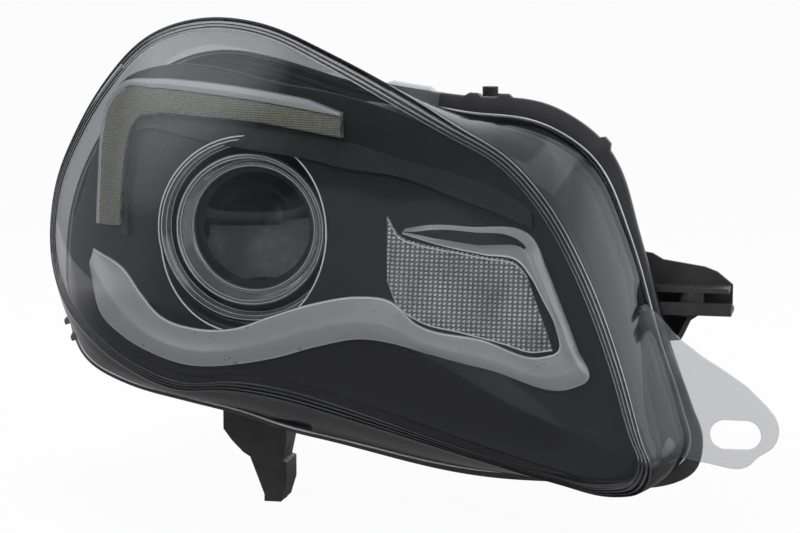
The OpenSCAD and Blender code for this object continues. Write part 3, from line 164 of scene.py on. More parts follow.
ridge = eased(curve(RIDGE, ROUND, True), EASE)
seam = eased(curve(SEAM, ROUND, True), EASE)
tangent = unit(np.roll(seam, -1, 0) - np.roll(seam, 1, 0))
seam_out = np.stack([-tangent[:, 1], tangent[:, 0]], 1)
angle = np.arctan2(ridge[:, 1] - MID[1], ridge[:, 0] - MID[0])
order = np.argsort(angle)
angle_at, reach_at = angle[order], length(ridge - MID)[order, 0]


def share(x):
    return np.clip(-x / SWEEP_R, 0, 0.999)


def sweep_y(p):
    s = share(p[..., 0])
    rake = (RAKE_IN + RAKE_GAIN * s) * (p[..., 1] + RAKE_LOW - RAKE_RISE * s)
    return -LENS_FWD + SWEEP_D * (1 - np.sqrt(1 - s * s)) + rake


def crown(p, r):
    return (CROWN_IN + CROWN_GAIN * share(p[..., 0])) * (1 - r**CROWN_POWER)


def reach(p):
    """distance from the middle to the ridge, in a point's direction"""
    v = p - MID
    return np.interp(np.arctan2(v[..., 1], v[..., 0]), angle_at, reach_at, period=2 * math.pi)


def radial(p):
    """a point's share of the way from the middle to the ridge"""
    return np.minimum(1, length(p - MID)[..., 0] / reach(p))


def skin_at(p):
    return sweep_y(p) - crown(p, radial(p))


def gap_at(r):
    return LENS_T + mix(BEZEL_GAP, EDGE_GAP, np.minimum(1, r / BEZEL_SHARE) ** 6)


def bezel_at(p):
    return skin_at(p) + gap_at(radial(p))


bezel_points = mix(RIDGE, MID, (BEZEL_IN / length(RIDGE - MID)[:, 0])[:, None])
bezel_edge = eased(curve(bezel_points, ROUND, True), EASE)
# 1 where the bezel's side follows the lens's wall, 0 where it runs straight back to the seam
hug = np.clip(2 - length(ridge - bezel_edge) / HUG_WITHIN, 0, 1)
seam_y = sweep_y(ridge) + WALL * (1 - WALL_TAPER * share(ridge[:, 0]))


def lift_ring(q, y):
    return np.stack([q[:, 0], y, q[:, 1]], 1)


def face_ring(r, back):
    q = mix(MID, ridge, np.reshape(r, (-1, 1)))
    return lift_ring(q, sweep_y(q) - crown(q, np.ravel(r)) + back)


def inset_ring(d, back):
    return face_ring(1 - d / length(ridge - MID)[:, 0], back)


def seam_ring(out, back):
    q = seam + out * seam_out
    return lift_ring(q, seam_y + back)


def half_ring(out, bulge):
    shift = np.stack([seam_out[:, 0], np.zeros(len(seam)), seam_out[:, 1]], 1)
    return mix(inset_ring(-out, 0), seam_ring(out, 0), 0.5) + bulge * shift


def edge_ring(d, back):
    """ring on the bezel's face, d millimetres inside its edge"""
    q = mix(bezel_edge, MID, d / length(bezel_edge - MID))
    return lift_ring(q, bezel_at(q) + back)


def side_ring(out, bulge):
    """half way down the bezel's side, which follows the lens's wall where the two are close"""
    straight = mix(edge_ring(0, 0), seam_ring(SKIRT, 0), 0.5)
    straight[:, [0, 2]] += out * seam_out
    return mix(straight, half_ring(out - LENS_T - SIDE_GAP, bulge), hug)


def wall_rings(a, half, b, count):
    """rings from a to b along a bend that passes through half"""
    c = 2 * half - (a + b) / 2
    return [(1 - t) ** 2 * a + 2 * t * (1 - t) * c + t * t * b for t in np.linspace(0, 1, count)]


# ---------------------------------------------------------------- mesh helpers
NODE_SHARP, BEVEL_SHARP, BEVEL_STEPS, MERGE = 32, 30, 3, 1e-6


def grid_faces(k, n, wrap_k):
    """quads between k rings of n points, and between the last and the first if wrap_k"""
    j = np.arange(k if wrap_k else k - 1)[:, None]
    i = np.arange(n)[None, :]
    a, b = j * n + i, j * n + (i + 1) % n
    c, d = ((j + 1) % k) * n + (i + 1) % n, ((j + 1) % k) * n + i
    return np.stack([a, b, c, d], -1).reshape(-1, 4).tolist()


def smooth_shade(mesh, sharp):
    """smooth shading, with edges over the angle in degrees kept sharp"""
    mesh.shade_smooth()
    mesh.set_sharp_from_angle(angle=math.radians(sharp))


def round_edges(made, width, sharp):
    """rounds the edges over the angle in degrees"""
    cut = made.modifiers.new("bevel", "BEVEL")
    cut.width, cut.segments, cut.limit_method = width * MM, BEVEL_STEPS, "ANGLE"
    cut.angle_limit = math.radians(sharp)
    cut.harden_normals = True


def add(name, verts, faces, mat, slot, body="lamp", sharp=35, replaces=(), bevel=0.0):
    mesh = bpy.data.meshes.new(name)
    # finer sampling bulges a little past the CAD model's chords, so each point is kept inside its box
    verts = np.clip(np.asarray(verts, float) * MM, np.array(start_box[0]), np.array(start_box[1]))
    mesh.from_pydata(verts.tolist(), [], faces)
    bm = bmesh.new()
    bm.from_mesh(mesh)
    bmesh.ops.remove_doubles(bm, verts=bm.verts, dist=MERGE)
    bmesh.ops.recalc_face_normals(bm, faces=bm.faces)
    bm.to_mesh(mesh)
    bm.free()
    smooth_shade(mesh, sharp)
    mesh.materials.append(mat)
    made = bpy.data.objects.new(name, mesh)
    scene.collection.objects.link(made)
    if bevel:
        round_edges(made, bevel, BEVEL_SHARP)
    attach(made, body)
    if replaces:
        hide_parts(*replaces)


def loft(rings, wrap_k=False):
    """verts and faces through rings of one length, with the ends filled, or joined if wrap_k"""
    k, n = len(rings), len(rings[0])
    verts = np.concatenate(rings)
    faces = grid_faces(k, n, wrap_k)
    if not wrap_k:
        faces += [list(range(n))[::-1], list(range((k - 1) * n, k * n))]
    return verts, faces


def turn_steps(count):
    """angles that divide a turn evenly"""
    return np.linspace(0, 2 * math.pi, count, endpoint=False)


def lathe(profile, at, turns):
    """closed profile of (radius, height along +Y) turned about an axis at (x, y, z)"""
    p = np.asarray(profile, float)
    rings = [np.stack([at[0] + p[:, 0] * math.cos(t), at[1] + p[:, 1], at[2] + p[:, 0] * math.sin(t)], 1)
        for t in turn_steps(turns)]
    return np.concatenate(rings), grid_faces(turns, len(p), True)


def sd_poly(p, poly):
    """distance of points from a polygon's edge, positive inside"""
    d = np.full(len(p), 1e18)
    inside = np.zeros(len(p), bool)
    for a, b in zip(poly, np.roll(poly, -1, 0)):
        e, w = b - a, p - a
        t = np.clip((w @ e) / max(e @ e, 1e-12), 0, 1)
        d = np.minimum(d, ((w - t[:, None] * e) ** 2).sum(1))
        crosses = (a[1] > p[:, 1]) != (b[1] > p[:, 1])
        x = (b[0] - a[0]) * (p[:, 1] - a[1]) / (b[1] - a[1] + 1e-30) + a[0]
        inside ^= crosses & (p[:, 0] < x)
    return np.where(inside, 1, -1) * np.sqrt(d)


def cut_sheet(field, span, step):
    """points and faces of the part of the XZ plane where field is positive, cut along its edge"""
    xs, zs = np.arange(span[0], span[1], step), np.arange(span[2], span[3], step)
    flat = np.stack(np.meshgrid(xs, zs, indexing="ij"), -1).reshape(-1, 2)
    nz = len(zs)
    f = field(flat)
    i, j = np.meshgrid(np.arange(len(xs) - 1), np.arange(nz - 1), indexing="ij")
    first, second = i * nz + j, (i + 1) * nz + j
    corner = np.stack([first, second, second + 1, first + 1], -1).reshape(-1, 4)
    count = (f > 0)[corner].sum(1)
    faces = corner[count == 4].tolist()
    points, crossing = [flat], {}
    total = len(flat)
    for c in corner[(count > 0) & (count < 4)]:
        poly = []
        for k in range(4):
            a, b = int(c[k]), int(c[(k + 1) % 4])
            if f[a] > 0:
                poly.append(a)
            if (f[a] > 0) != (f[b] > 0):
                key = (min(a, b), max(a, b))
                if key not in crossing:
                    t = f[key[0]] / (f[key[0]] - f[key[1]])
                    crossing[key] = total
                    total += 1
                    points.append(mix(flat[key[0]], flat[key[1]], t)[None])
                poly.append(crossing[key])
        faces.append(poly)
    p = np.concatenate(points)
    used = np.unique(np.concatenate([np.array(q) for q in faces]))
    number = np.full(len(p), -1)
    number[used] = np.arange(len(used))
    return p[used], [[int(number[v]) for v in q] for q in faces]


def plate(field, front, thick, span, step):
    """a sheet over the part of the XZ plane where field is positive, its front at front(points)"""
    p, faces = cut_sheet(field, span, step)
    y, n = front(p), len(p)
    verts = np.concatenate([lift_ring(p, y), lift_ring(p, y + thick)])
    edges = dict.fromkeys((a, b) for q in faces for a, b in zip(q, q[1:] + q[:1]))
    rim = [[b, a, a + n, b + n] for a, b in edges if (b, a) not in edges]
    return verts, faces + [[v + n for v in q[::-1]] for q in faces] + rim


def ribbon(a, b, off, lift, thick, across, r):
    """a strip between two curves in front view, off from the bezel's face, raised by lift and thick from
    front to back, with a number of points across it and front edges rounded to r"""
    width = length(b - a)[:, 0]
    n = len(a)
    rings = []
    for i in range(n):
        w = width[i]
        e = min(r, 0.45 * w)
        edge = e * (1 - np.cos(np.linspace(0, math.pi / 2, 5)))
        u = np.concatenate([edge / w, np.linspace(e / w, 1 - e / w, across)[1:-1], 1 - edge[::-1] / w])
        inner = np.minimum(np.minimum(u, 1 - u) * w, e)
        drop = e - np.sqrt(np.maximum(e * e - (e - inner) ** 2, 0))
        q = mix(a[i], b[i], u[:, None])
        y = bezel_at(q) + off - lift(u, i / (n - 1), q) + drop
        back = mix(a[i], b[i], u[::-1][[0, -1]][:, None])
        rings.append(np.vstack([lift_ring(q, y), lift_ring(back, bezel_at(back) + off + thick)]))
    return loft(rings)


def knots(values):
    """a lift through values that are spread evenly over a strip's width"""
    values = np.asarray(values, float)
    return lambda u, s=None, q=None: np.interp(u, np.linspace(0, 1, len(values)), values)


# ---------------------------------------------------------------- materials
def nodes_of(name):
    m = bpy.data.materials.new(name)
    m.use_nodes = True
    return m, m.node_tree, m.node_tree.nodes["Principled BSDF"]


def noise(tree, scale, detail):
    """soft spots over the piece, 0 to 1"""
    n = tree.nodes.new("ShaderNodeTexNoise")
    n.inputs["Scale"].default_value = scale
    n.inputs["Detail"].default_value = detail
    tree.links.new(tree.nodes.new("ShaderNodeTexCoord").outputs["Object"], n.inputs["Vector"])
    return n.outputs["Fac"]


def ramp(tree, value, a, b, low=0.3, high=0.7):
    """a up to the value low, b from the value high, and an even change between them"""
    r = tree.nodes.new("ShaderNodeMapRange")
    r.inputs["From Min"].default_value, r.inputs["From Max"].default_value = low, high
    r.inputs["To Min"].default_value, r.inputs["To Max"].default_value = a, b
    tree.links.new(value, r.inputs["Value"])
    return r.outputs["Result"]


def two_tone(tree, value, a, b, low=0.3, high=0.7):
    c = tree.nodes.new("ShaderNodeMix")
    c.data_type = "RGBA"
    c.inputs["A"].default_value, c.inputs["B"].default_value = (*a, 1), (*b, 1)
    tree.links.new(ramp(tree, value, 0, 1, low, high), c.inputs["Factor"])
    return c.outputs["Result"]


def mixed(tree, share_of, a, b):
    """the look a where share_of is 0 and b where it is 1"""
    join = tree.nodes.new("ShaderNodeMixShader")
    for socket, value in zip(join.inputs, (share_of, a, b)):
        tree.links.new(value, socket)
    return join.outputs[0]


def maths(tree, operation, a, b):
    m = tree.nodes.new("ShaderNodeMath")
    m.operation = operation
    tree.links.new(a, m.inputs[0])
    tree.links.new(b, m.inputs[1])
    return m.outputs[0]


def times(tree, a, b):
    return maths(tree, "MULTIPLY", a, b)


def sum_of(tree, *values):
    total = values[0]
    for value in values[1:]:
        total = maths(tree, "ADD", total, value)
    return total


def bump(tree, value, strength, distance, target):
    b = tree.nodes.new("ShaderNodeBump")
    b.inputs["Strength"].default_value, b.inputs["Distance"].default_value = strength, distance
    tree.links.new(value, b.inputs["Height"])
    tree.links.new(b.outputs["Normal"], target)


WAVE_RATE = 20


def wave(tree, direction, pitch):
    """0 to 1 ripple along one axis, pitch in millimetres; at scale 1 it turns WAVE_RATE radians a metre"""
    w = tree.nodes.new("ShaderNodeTexWave")
    w.bands_direction = direction
    w.inputs["Scale"].default_value = 2 * math.pi / (WAVE_RATE * pitch * MM)
    tree.links.new(tree.nodes.new("ShaderNodeTexCoord").outputs["Object"], w.inputs["Vector"])
    return w.outputs["Fac"]


PLASTIC_IOR = 1.5
GRAIN_DEPTH = 0.0003


def finish(name, dark, light, rough, spread, scale, grain=None, metal=0.0):
    """a plain material: two close tones in patches, roughness in smaller patches, and any fine grain"""
    m, tree, p = nodes_of(name)
    tree.links.new(two_tone(tree, noise(tree, scale, 4), dark, light), p.inputs["Base Color"])
    shine = ramp(tree, noise(tree, scale * 2.3, 3), rough - spread, rough + spread)
    tree.links.new(shine, p.inputs["Roughness"])
    p.inputs["Metallic"].default_value = metal
    p.inputs["IOR"].default_value = PLASTIC_IOR
    if grain:
        strength, fineness = grain
        bump(tree, noise(tree, fineness, 2), strength, GRAIN_DEPTH, p.inputs["Normal"])
    return m


def solid_glass(t, tint, ior):
    """glass or plastic with a thickness of its own, which bends what is seen through it"""
    glass = t.nodes.new("ShaderNodeBsdfGlass")
    glass.inputs["Color"].default_value = (*tint, 1)
    glass.inputs["Roughness"].default_value = 0.0
    glass.inputs["IOR"].default_value = ior
    return glass.outputs[0]


def straight_glass(t, tint, ior, rough):
    """clear plastic that is seen through in a straight line, with the gloss of its front and back"""
    see = t.nodes.new("ShaderNodeBsdfTransparent")
    see.inputs["Color"].default_value = (*tint, 1)
    gloss = t.nodes.new("ShaderNodeBsdfGlossy")
    t.links.new(ramp(t, noise(t, 60, 2), rough, rough + 0.015), gloss.inputs["Roughness"])
    side = t.nodes.new("ShaderNodeNewGeometry").outputs["Backfacing"]
    f = t.nodes.new("ShaderNodeFresnel")
    t.links.new(ramp(t, side, ior, 1 / ior, 0, 1), f.inputs["IOR"])
    return mixed(t, f.outputs[0], see.outputs[0], gloss.outputs[0])


def hazed(t, look, haze, pitch):
    """a clear look with thin clouds of milk in it; where a pitch along X and Z is given, the milk lies in
    bright spots at that pitch, which are painted glints
    """
    milk = t.nodes.new("ShaderNodeBsdfDiffuse")
    milk.inputs["Color"].default_value = (0.85, 0.87, 0.9, 1)
    cloud = ramp(t, noise(t, 40, 3), haze * 0.7, haze * 1.3)
    if pitch:
        spots = times(t, wave(t, "X", pitch[0]), wave(t, "Z", pitch[1]))
        cloud = times(t, ramp(t, spots, 0.25, 2.4, 0.1, 0.8), cloud)
    return mixed(t, cloud, look, milk.outputs[0])


def clear(name, tint, ior, rough=0.0, haze=0.0, solid=False, pitch=None):
    """clear plastic or glass that lets the lamps through"""
    m = bpy.data.materials.new(name)
    m.use_nodes = True
    t = m.node_tree
    t.nodes.clear()
    out = t.nodes.new("ShaderNodeOutputMaterial")
    look = solid_glass(t, tint, ior) if solid else straight_glass(t, tint, ior, rough)
    if haze:
        look = hazed(t, look, haze, pitch)
    path = t.nodes.new("ShaderNodeLightPath")
    through = t.nodes.new("ShaderNodeBsdfTransparent")
    through.inputs["Color"].default_value = (*tint, 1)
    unseen = sum_of(t, path.outputs["Is Shadow Ray"], path.outputs["Is Diffuse Ray"])
    t.links.new(mixed(t, unseen, look, through.outputs[0]), out.inputs[0])
    return m


PRISM_PITCH, PRISM_DEPTH = 1.5, 0.0004


def prism_plastic(name):
    """cloudy clear plastic with a fine square grid of prisms, for the light guide"""
    m, tree, p = nodes_of(name)
    grid = times(tree, wave(tree, "X", PRISM_PITCH), wave(tree, "Z", PRISM_PITCH))
    tone = two_tone(tree, grid, (0.11, 0.115, 0.09), (0.42, 0.42, 0.33), 0.05, 0.7)
    tree.links.new(tone, p.inputs["Base Color"])
    tree.links.new(ramp(tree, noise(tree, 200, 2), 0.2, 0.34), p.inputs["Roughness"])
    bump(tree, grid, 0.6, PRISM_DEPTH, p.inputs["Normal"])
    return m


# darker tone, lighter tone, roughness, its spread, scale of the patches, (grain, its scale), metal
FINISHES = {
    "black_moulding": ((0.032, 0.032, 0.034), (0.048, 0.048, 0.050), 0.36, 0.08, 60, (0.25, 1500)),
    "satin_black": ((0.030, 0.031, 0.034), (0.040, 0.041, 0.044), 0.30, 0.04, 30),
    "gloss_black": ((0.021, 0.022, 0.024), (0.027, 0.028, 0.030), 0.09, 0.02, 25),
    "satin_silver": ((0.82, 0.83, 0.84), (0.87, 0.88, 0.89), 0.30, 0.03, 40, None, 0.6),
    "ring_silver": ((0.70, 0.71, 0.72), (0.78, 0.79, 0.80), 0.10, 0.03, 60, None, 0.95),
    # near-white plain finish, no metal, for thin lines that are painted highlights
    "painted_highlight_white": ((0.92, 0.93, 0.94), (0.96, 0.97, 0.97), 0.2, 0.03, 60),
    "bright_chrome": ((0.80, 0.84, 0.84), (0.86, 0.89, 0.89), 0.08, 0.02, 30, None, 0.9),
    "board_green": ((0.01, 0.06, 0.03), (0.02, 0.10, 0.05), 0.45, 0.1, 200),
    "black_rubber": ((0.012, 0.012, 0.012), (0.022, 0.022, 0.022), 0.75, 0.08, 90, (0.5, 2000)),
    "red_rubber": ((0.25, 0.02, 0.015), (0.34, 0.04, 0.025), 0.6, 0.08, 90, (0.4, 2000)),
    "amber_glass": ((0.62, 0.50, 0.38), (0.74, 0.64, 0.52), 0.10, 0.03, 60, None, 0.9),
    "cast_metal": ((0.42, 0.43, 0.44), (0.55, 0.56, 0.57), 0.48, 0.08, 80, (0.5, 1500), 1.0),
    "dark_casting": ((0.03, 0.032, 0.034), (0.05, 0.052, 0.055), 0.35, 0.06, 80, (0.3, 1500)),
    "steel": ((0.50, 0.50, 0.50), (0.64, 0.63, 0.60), 0.32, 0.08, 150, (0.1, 3000), 1.0),
    "white_nylon": ((0.62, 0.62, 0.58), (0.74, 0.74, 0.70), 0.45, 0.06, 70, (0.2, 2500)),
    "black_nylon": ((0.014, 0.014, 0.015), (0.028, 0.028, 0.029), 0.48, 0.08, 80, (0.3, 2500)),
    "brass": ((0.60, 0.42, 0.16), (0.74, 0.55, 0.24), 0.30, 0.06, 120, (0.1, 3000), 1.0),
    "ceramic": ((0.70, 0.70, 0.66), (0.80, 0.80, 0.77), 0.35, 0.06, 60, (0.15, 2500)),
}
POLYCARBONATE, ACRYLIC, CROWN_GLASS = 1.585, 1.49, 1.52
FLUTE_PITCH = (3.2, 2.6)
M = {name: finish(name, *look) for name, look in FINISHES.items()}
# its grey tint darkens all that is seen through the lens and the lamps' light inside: painted shade for the
# dimmer light within the lamp, as the real lens is clear
M["lens_clear"] = clear("lens_clear", (0.84, 0.84, 0.85), POLYCARBONATE, solid=True)
M["tab_clear"] = clear("tab_clear", (0.77, 0.77, 0.785), ACRYLIC, rough=0.04, haze=0.07)
# milky clear plastic for the painted glint round the lens's foot
M["foot_glint_milk"] = clear("foot_glint_milk", (0.9, 0.9, 0.91), ACRYLIC, rough=0.05, haze=0.55)
M["optic_glass"] = clear("optic_glass", (0.97, 0.985, 0.98), CROWN_GLASS, solid=True)
# milky spots at the pillows' pitch in the turn signal: painted glints of its pillows
M["flute_clear"] = clear("flute_clear", (0.97, 0.975, 0.98), ACRYLIC, haze=0.3, solid=True,
    pitch=FLUTE_PITCH)
M["guide_clear"] = prism_plastic("guide_clear")

OWN_LOOK = {"lens_holder": "dark_casting"}
for part in record["subparts"]:
    held = node[part["node"]].data
    held.materials.clear()
    held.materials.append(M[OWN_LOOK.get(part["node"], part["material_slot"])])
    smooth_shade(held, NODE_SHARP)

# ---------------------------------------------------------------- housing
# how far the front rim flares at each point of SEAM, and small nubs on it: (point of the ring, height)
FLARE = [4, 7, 7, 3, 1, 0, 0, 0, 0, 0, 0, 0, 0, 0, 0, 0, 0, 0, 0, 2, 6.5, 9, 7.5, 1.5, 0, 2]
NUBS = [(438, 3.0), (401, 2.2), (409, 2.2), (219, 4.5), (211, 3.0)]
NUB_W, FLARE_PASSES = 3, 24
flare = np.interp(np.arange(len(seam)) / ROUND, np.arange(len(FLARE) + 1), FLARE + FLARE[:1])
for _ in range(FLARE_PASSES):
    flare = (np.roll(flare, 1) + 2 * flare + np.roll(flare, -1)) / 4
for at, tall in NUBS:
    flare[at:at + NUB_W] += tall
flare = flare[:, None]

RIM_OUT = FOOT_GAP + LIP_T
CHANNEL = FOOT_D + SEAL_T + 2 * SEAT_GAP
RIM_BACK = CHANNEL + WALL_T
CHANNEL_FRONT = 2
# section of the rim from its inner lip to its outer one: distance outside the seam, depth behind it
# and share of the flare
RIM_SECTION = [
    (RIM_IN, RIM_BACK, 0), (RIM_IN, CHANNEL_FRONT, 0), (RIM_IN + LIP_T, CHANNEL_FRONT, 0),
    (RIM_IN + LIP_T, CHANNEL, 0), (FOOT_GAP, CHANNEL, 0), (FOOT_GAP, 2.2, 0), (FOOT_GAP + 0.25, 1.7, 0),
    (FOOT_GAP + 0.8, 1.5, 0), (RIM_OUT - 1.2, 1.6, 1), (RIM_OUT - 0.4, 2.0, 1), (RIM_OUT, 3.0, 1),
    (RIM_OUT, 7.5, 1), (RIM_OUT - 0.5, 8.6, 1), (RIM_OUT - 1.6, 9.4, 0.9), (RIM_OUT, 11, 0.05),
    (RIM_OUT, RIM_BACK, 0)]
BACK_MID = np.array([-250.0, 10.0])
BOWL_IN, BOWL_STEP, BOWL_POWER = 1, 3, 1.6
CORNER_T, START_T, BOWL_RINGS = 0.92, 0.12, 12


def bowl_ring(t, inset, thick):
    """ring of the side walls: t 0 at the rim, 1 at the rear wall"""
    first = seam - (BOWL_IN + inset) * seam_out
    last = mix(BACK_MID, seam, BACK_SCALE) - inset * seam_out
    q = mix(first, last, t**BOWL_POWER)
    return lift_ring(q, mix(seam_y + RIM_BACK + BOWL_STEP, BACK_IN - BACK_SLOPE * last[:, 0], t) - thick)


def rim_ring(out, back, part):
    q = seam + (out + part * flare) * seam_out
    return lift_ring(q, seam_y + back)


steps = np.linspace(CORNER_T, START_T, BOWL_RINGS)
rings = [bowl_ring(t, WALL_T, WALL_T * t * t) for t in steps]
rings += [rim_ring(*point) for point in RIM_SECTION]
rings += [bowl_ring(t, 0, 0) for t in steps[::-1]]
add("housing_shell", *loft(rings, True), M["black_moulding"], "black_moulding", sharp=50,
    replaces=("housing",))

# ---------------------------------------------------------------- moulded parts with rounded edges
ROUNDED = {"inner_arm": 1.0, "lower_leg": 1.0, "rear_cover": 0.8, "main_connector": 0.5, "ear_bracket": 0.8,
    "ballast": 1.0, "led_driver": 0.8, "turn_bulb_holder": 0.5}
SAME_POINT, SAME_PLANE = 2e-5, 2


def softened(name, width):
    """the named part's own shape with its edges rounded"""
    mesh = node[name].data.copy()
    bm = bmesh.new()
    bm.from_mesh(mesh)
    bmesh.ops.remove_doubles(bm, verts=bm.verts, dist=SAME_POINT)
    bmesh.ops.dissolve_limit(bm, angle_limit=math.radians(SAME_PLANE), verts=bm.verts, edges=bm.edges)
    bm.to_mesh(mesh)
    bm.free()
    made = bpy.data.objects.new(name + "_round", mesh)
    scene.collection.objects.link(made)
    smooth_shade(mesh, NODE_SHARP)
    round_edges(made, width, NODE_SHARP)
    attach(made, body_of[name])
    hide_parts(name)


for name, width in ROUNDED.items():
    softened(name, width)

# ---------------------------------------------------------------- clear lens
BEAD_PITCH, BEADS, BEAD_H, BEAD_STEPS = 2.4, 4, 1.0, 8
WALL_BULGE, INNER_IN = 2, 6
span_out = length(ridge - MID)[:, 0]
bead_band = BEAD_PITCH * BEADS
shares = np.concatenate([[0.004, 0.03], np.linspace(0.06, 1, 30)])
rings = [face_ring(t * (1 - bead_band / span_out), 0) for t in shares]
for d in np.linspace(bead_band, 0, BEADS * BEAD_STEPS + 1)[1:]:
    phase = (d / BEAD_PITCH) % 1
    rings.append(inset_ring(d, -BEAD_H * math.sqrt(max(0, 1 - (2 * phase - 1) ** 2))))
rings += wall_rings(inset_ring(0, 0), half_ring(0, WALL_BULGE), seam_ring(0, 0), 12)[1:]
rings += [seam_ring(0, FOOT_D), seam_ring(-LENS_T, FOOT_D)]
inner_corner = inset_ring(LENS_T + 1, LENS_T + 1)
rings += wall_rings(seam_ring(-LENS_T, 0), half_ring(-LENS_T, WALL_BULGE), inner_corner, 10)
rings += [face_ring(t * (1 - INNER_IN / span_out), LENS_T) for t in shares[::-1]]
add("lens_cover", *loft(rings), M["lens_clear"], "lens_clear", sharp=50, replaces=("outer_lens",))

# painted highlight: a milky bead round the lens's foot, standing in for the bright glint of the foot's edge
GLINT_AT, GLINT_R, GLINT_STEPS = (0.45, 0.6), (0.5, 0.8), 10
rings = [seam_ring(GLINT_AT[0] + GLINT_R[0] * math.cos(a), GLINT_AT[1] + GLINT_R[1] * math.sin(a))
    for a in turn_steps(GLINT_STEPS)]
add("foot_glint", *loft(rings, True), M["foot_glint_milk"], "lens_clear")

# clip that hooks the lens's foot to the housing's rim, at the top: (distance outside the seam, behind it);
# its points more than HOOK_SEAM outside follow the rim's flare
HOOK = np.array([[-1.5, -1.2], [RIM_OUT + 4.6, -1.2], [RIM_OUT + 5.6, -0.2], [RIM_OUT + 5.6, 10],
    [RIM_OUT + 4.2, 10], [RIM_OUT + 4.2, 1.0], [RIM_OUT + 3.6, 0.4], [-1.5, 0.4]])
CLIP_FROM, CLIP_TO, CLIP_TAPER, CLIP_END_W, CLIP_SEAT, HOOK_SEAM = 386, 397, 2, 0.75, 3, 2
hook_out, hook_back = HOOK[:, :1], HOOK[:, 1]
on_rim = hook_out > HOOK_SEAM
sections = []
for j in range(CLIP_FROM, CLIP_TO):
    width = 1.0 if CLIP_FROM + CLIP_TAPER <= j < CLIP_TO - CLIP_TAPER else CLIP_END_W
    out = hook_out * width + flare[j] * on_rim - CLIP_SEAT * on_rim
    sections.append(lift_ring(seam[j] + out * seam_out[j], seam_y[j] + hook_back))
add("lens_clip", *loft(sections), M["tab_clear"], "lens_clear", bevel=0.3)

# slotted tab at the lens's lower inner corner, ribbed below
TAB = np.array([[-26, -2], [-3, -24], [51, -64], [57.5, -73], [59, -82], [55.5, -90], [46, -97], [40, -103],
    [16, -102], [-10, -96]], float)
TAB_SPAN, TAB_T, TAB_STEP = (-30, 62, -106, 2), 3.2, 0.8
SLOT_AT, SLOT_L, SLOT_W = [32, -83], 32, 19
RIB_TOP, RIB_START, RIB_PITCH, RIB_TILT, RIB_D = -89.5, -20, 3.4, 0.05, 0.9
TAB_ROUND, TAB_DROP = 0.8, 0.6
tab_y = -LENS_FWD + WALL - 1


def tab_field(p):
    slot = np.abs(p - SLOT_AT)
    slot[:, 0] = np.maximum(slot[:, 0] - (SLOT_L - SLOT_W) / 2, 0)
    return np.minimum(sd_poly(p, curve(TAB, 4, True)), length(slot)[:, 0] - SLOT_W / 2)


def tab_front(p):
    ribs = np.clip((RIB_TOP - p[:, 1]) / 2, 0, 1) * np.clip((p[:, 0] - RIB_START) / 5, 0, 1)
    ripple = 0.5 + 0.5 * np.cos((p[:, 1] + RIB_TILT * p[:, 0]) * 2 * math.pi / RIB_PITCH)
    rounded = np.clip(TAB_ROUND - tab_field(p), 0, TAB_ROUND) * TAB_DROP
    return tab_y - TAB_T + rounded + RIB_D * (1 - ripple) * ribs


add("clear_tab", *plate(tab_field, tab_front, TAB_T, TAB_SPAN, TAB_STEP), M["tab_clear"], "lens_clear",
    replaces=("lens_tab",))

# ---------------------------------------------------------------- bezel
FINE = 12
DRL_OUT = curve([[-410, 30], [-414, 60], [-417, 88], [-414, 109], [-403, 119.5], [-373, 122], [-332, 121],
    [-292, 118.5], [-251, 114], [-226, 110.5]], FINE)
DRL_IN = curve([[-389, 31], [-392, 56], [-392.5, 79], [-391, 93], [-386, 101], [-372, 105], [-330, 106],
    [-288, 105], [-250, 100.8], [-224, 97.5]], FINE)
TURN_TOP = [[-189.5, 50], [-181, 38.6], [-166, 33.8], [-146, 30.8], [-124, 27.4], [-104.5, 24], [-98, 18]]
TURN_LOW = [[-187, 12], [-178.5, -4], [-164, -12.4], [-138, -17.8], [-112, -23.4], [-92, -28.2],
    [-80, -26.6]]
BEZEL_SPAN, BEZEL_STEP, EDGE_R, LEDGE = (-470, -10, -115, 175), 1.6, 1.4, 2.5
TUNNEL_D, TUNNEL_STEPS, TUNNEL_CREST, FACE_MARGIN = 24, 160, 1.2, 4
# the tunnel's rounded lip: distance outside its bore, depth behind the bezel's face
TUNNEL_LIP = [(0, 0.9), (0.3, -0.1), (TUNNEL_CREST, -0.5), (2.1, -0.1), (BEZEL_T, 0.9)]


def shifted(a, b, d):
    return a + d * unit(a - b)


def loop(a, b):
    return np.vstack([a, b[::-1]])


drl_hole = loop(shifted(DRL_OUT, DRL_IN, -LEDGE)[FINE:-FINE], shifted(DRL_IN, DRL_OUT, -LEDGE)[FINE:-FINE])
turn_a, turn_b = curve(TURN_TOP, 4), curve(TURN_LOW, 4)
turn_hole = loop(shifted(turn_a, turn_b, -LEDGE)[2:-2], shifted(turn_b, turn_a, -LEDGE)[2:-2])
low, high = box_mm("bezel_ring")
tunnel_r = (high[0] - low[0]) / 2 + SEAT_GAP
tunnel_back = ring_y + TUNNEL_D


def bezel_field(p):
    tunnel = np.hypot(p[:, 0] - proj_x, p[:, 1] - proj_z) - tunnel_r
    holes = np.maximum(sd_poly(p, turn_hole), sd_poly(p, drl_hole))
    return np.minimum.reduce([sd_poly(p, bezel_edge) - EDGE_R, tunnel, -holes])


def axis_point(r, t):
    """point in front view at radius r and angle t about the projector's axis"""
    return np.array([proj_x + r * math.cos(t), proj_z + r * math.sin(t)])


def tunnel_section(t):
    """section of the tunnel's wall at angle t"""
    front = [axis_point(tunnel_r + out, t) for out, back in TUNNEL_LIP]
    face_y = min(float(bezel_at(front[-1][None])[0]), tunnel_back - FACE_MARGIN)
    lip = [(x, face_y + back, z) for (x, z), (out, back) in zip(front, TUNNEL_LIP)]
    ends = [(x, tunnel_back, z) for x, z in (front[0], front[-1])]
    return np.array(ends[:1] + lip + ends[1:])


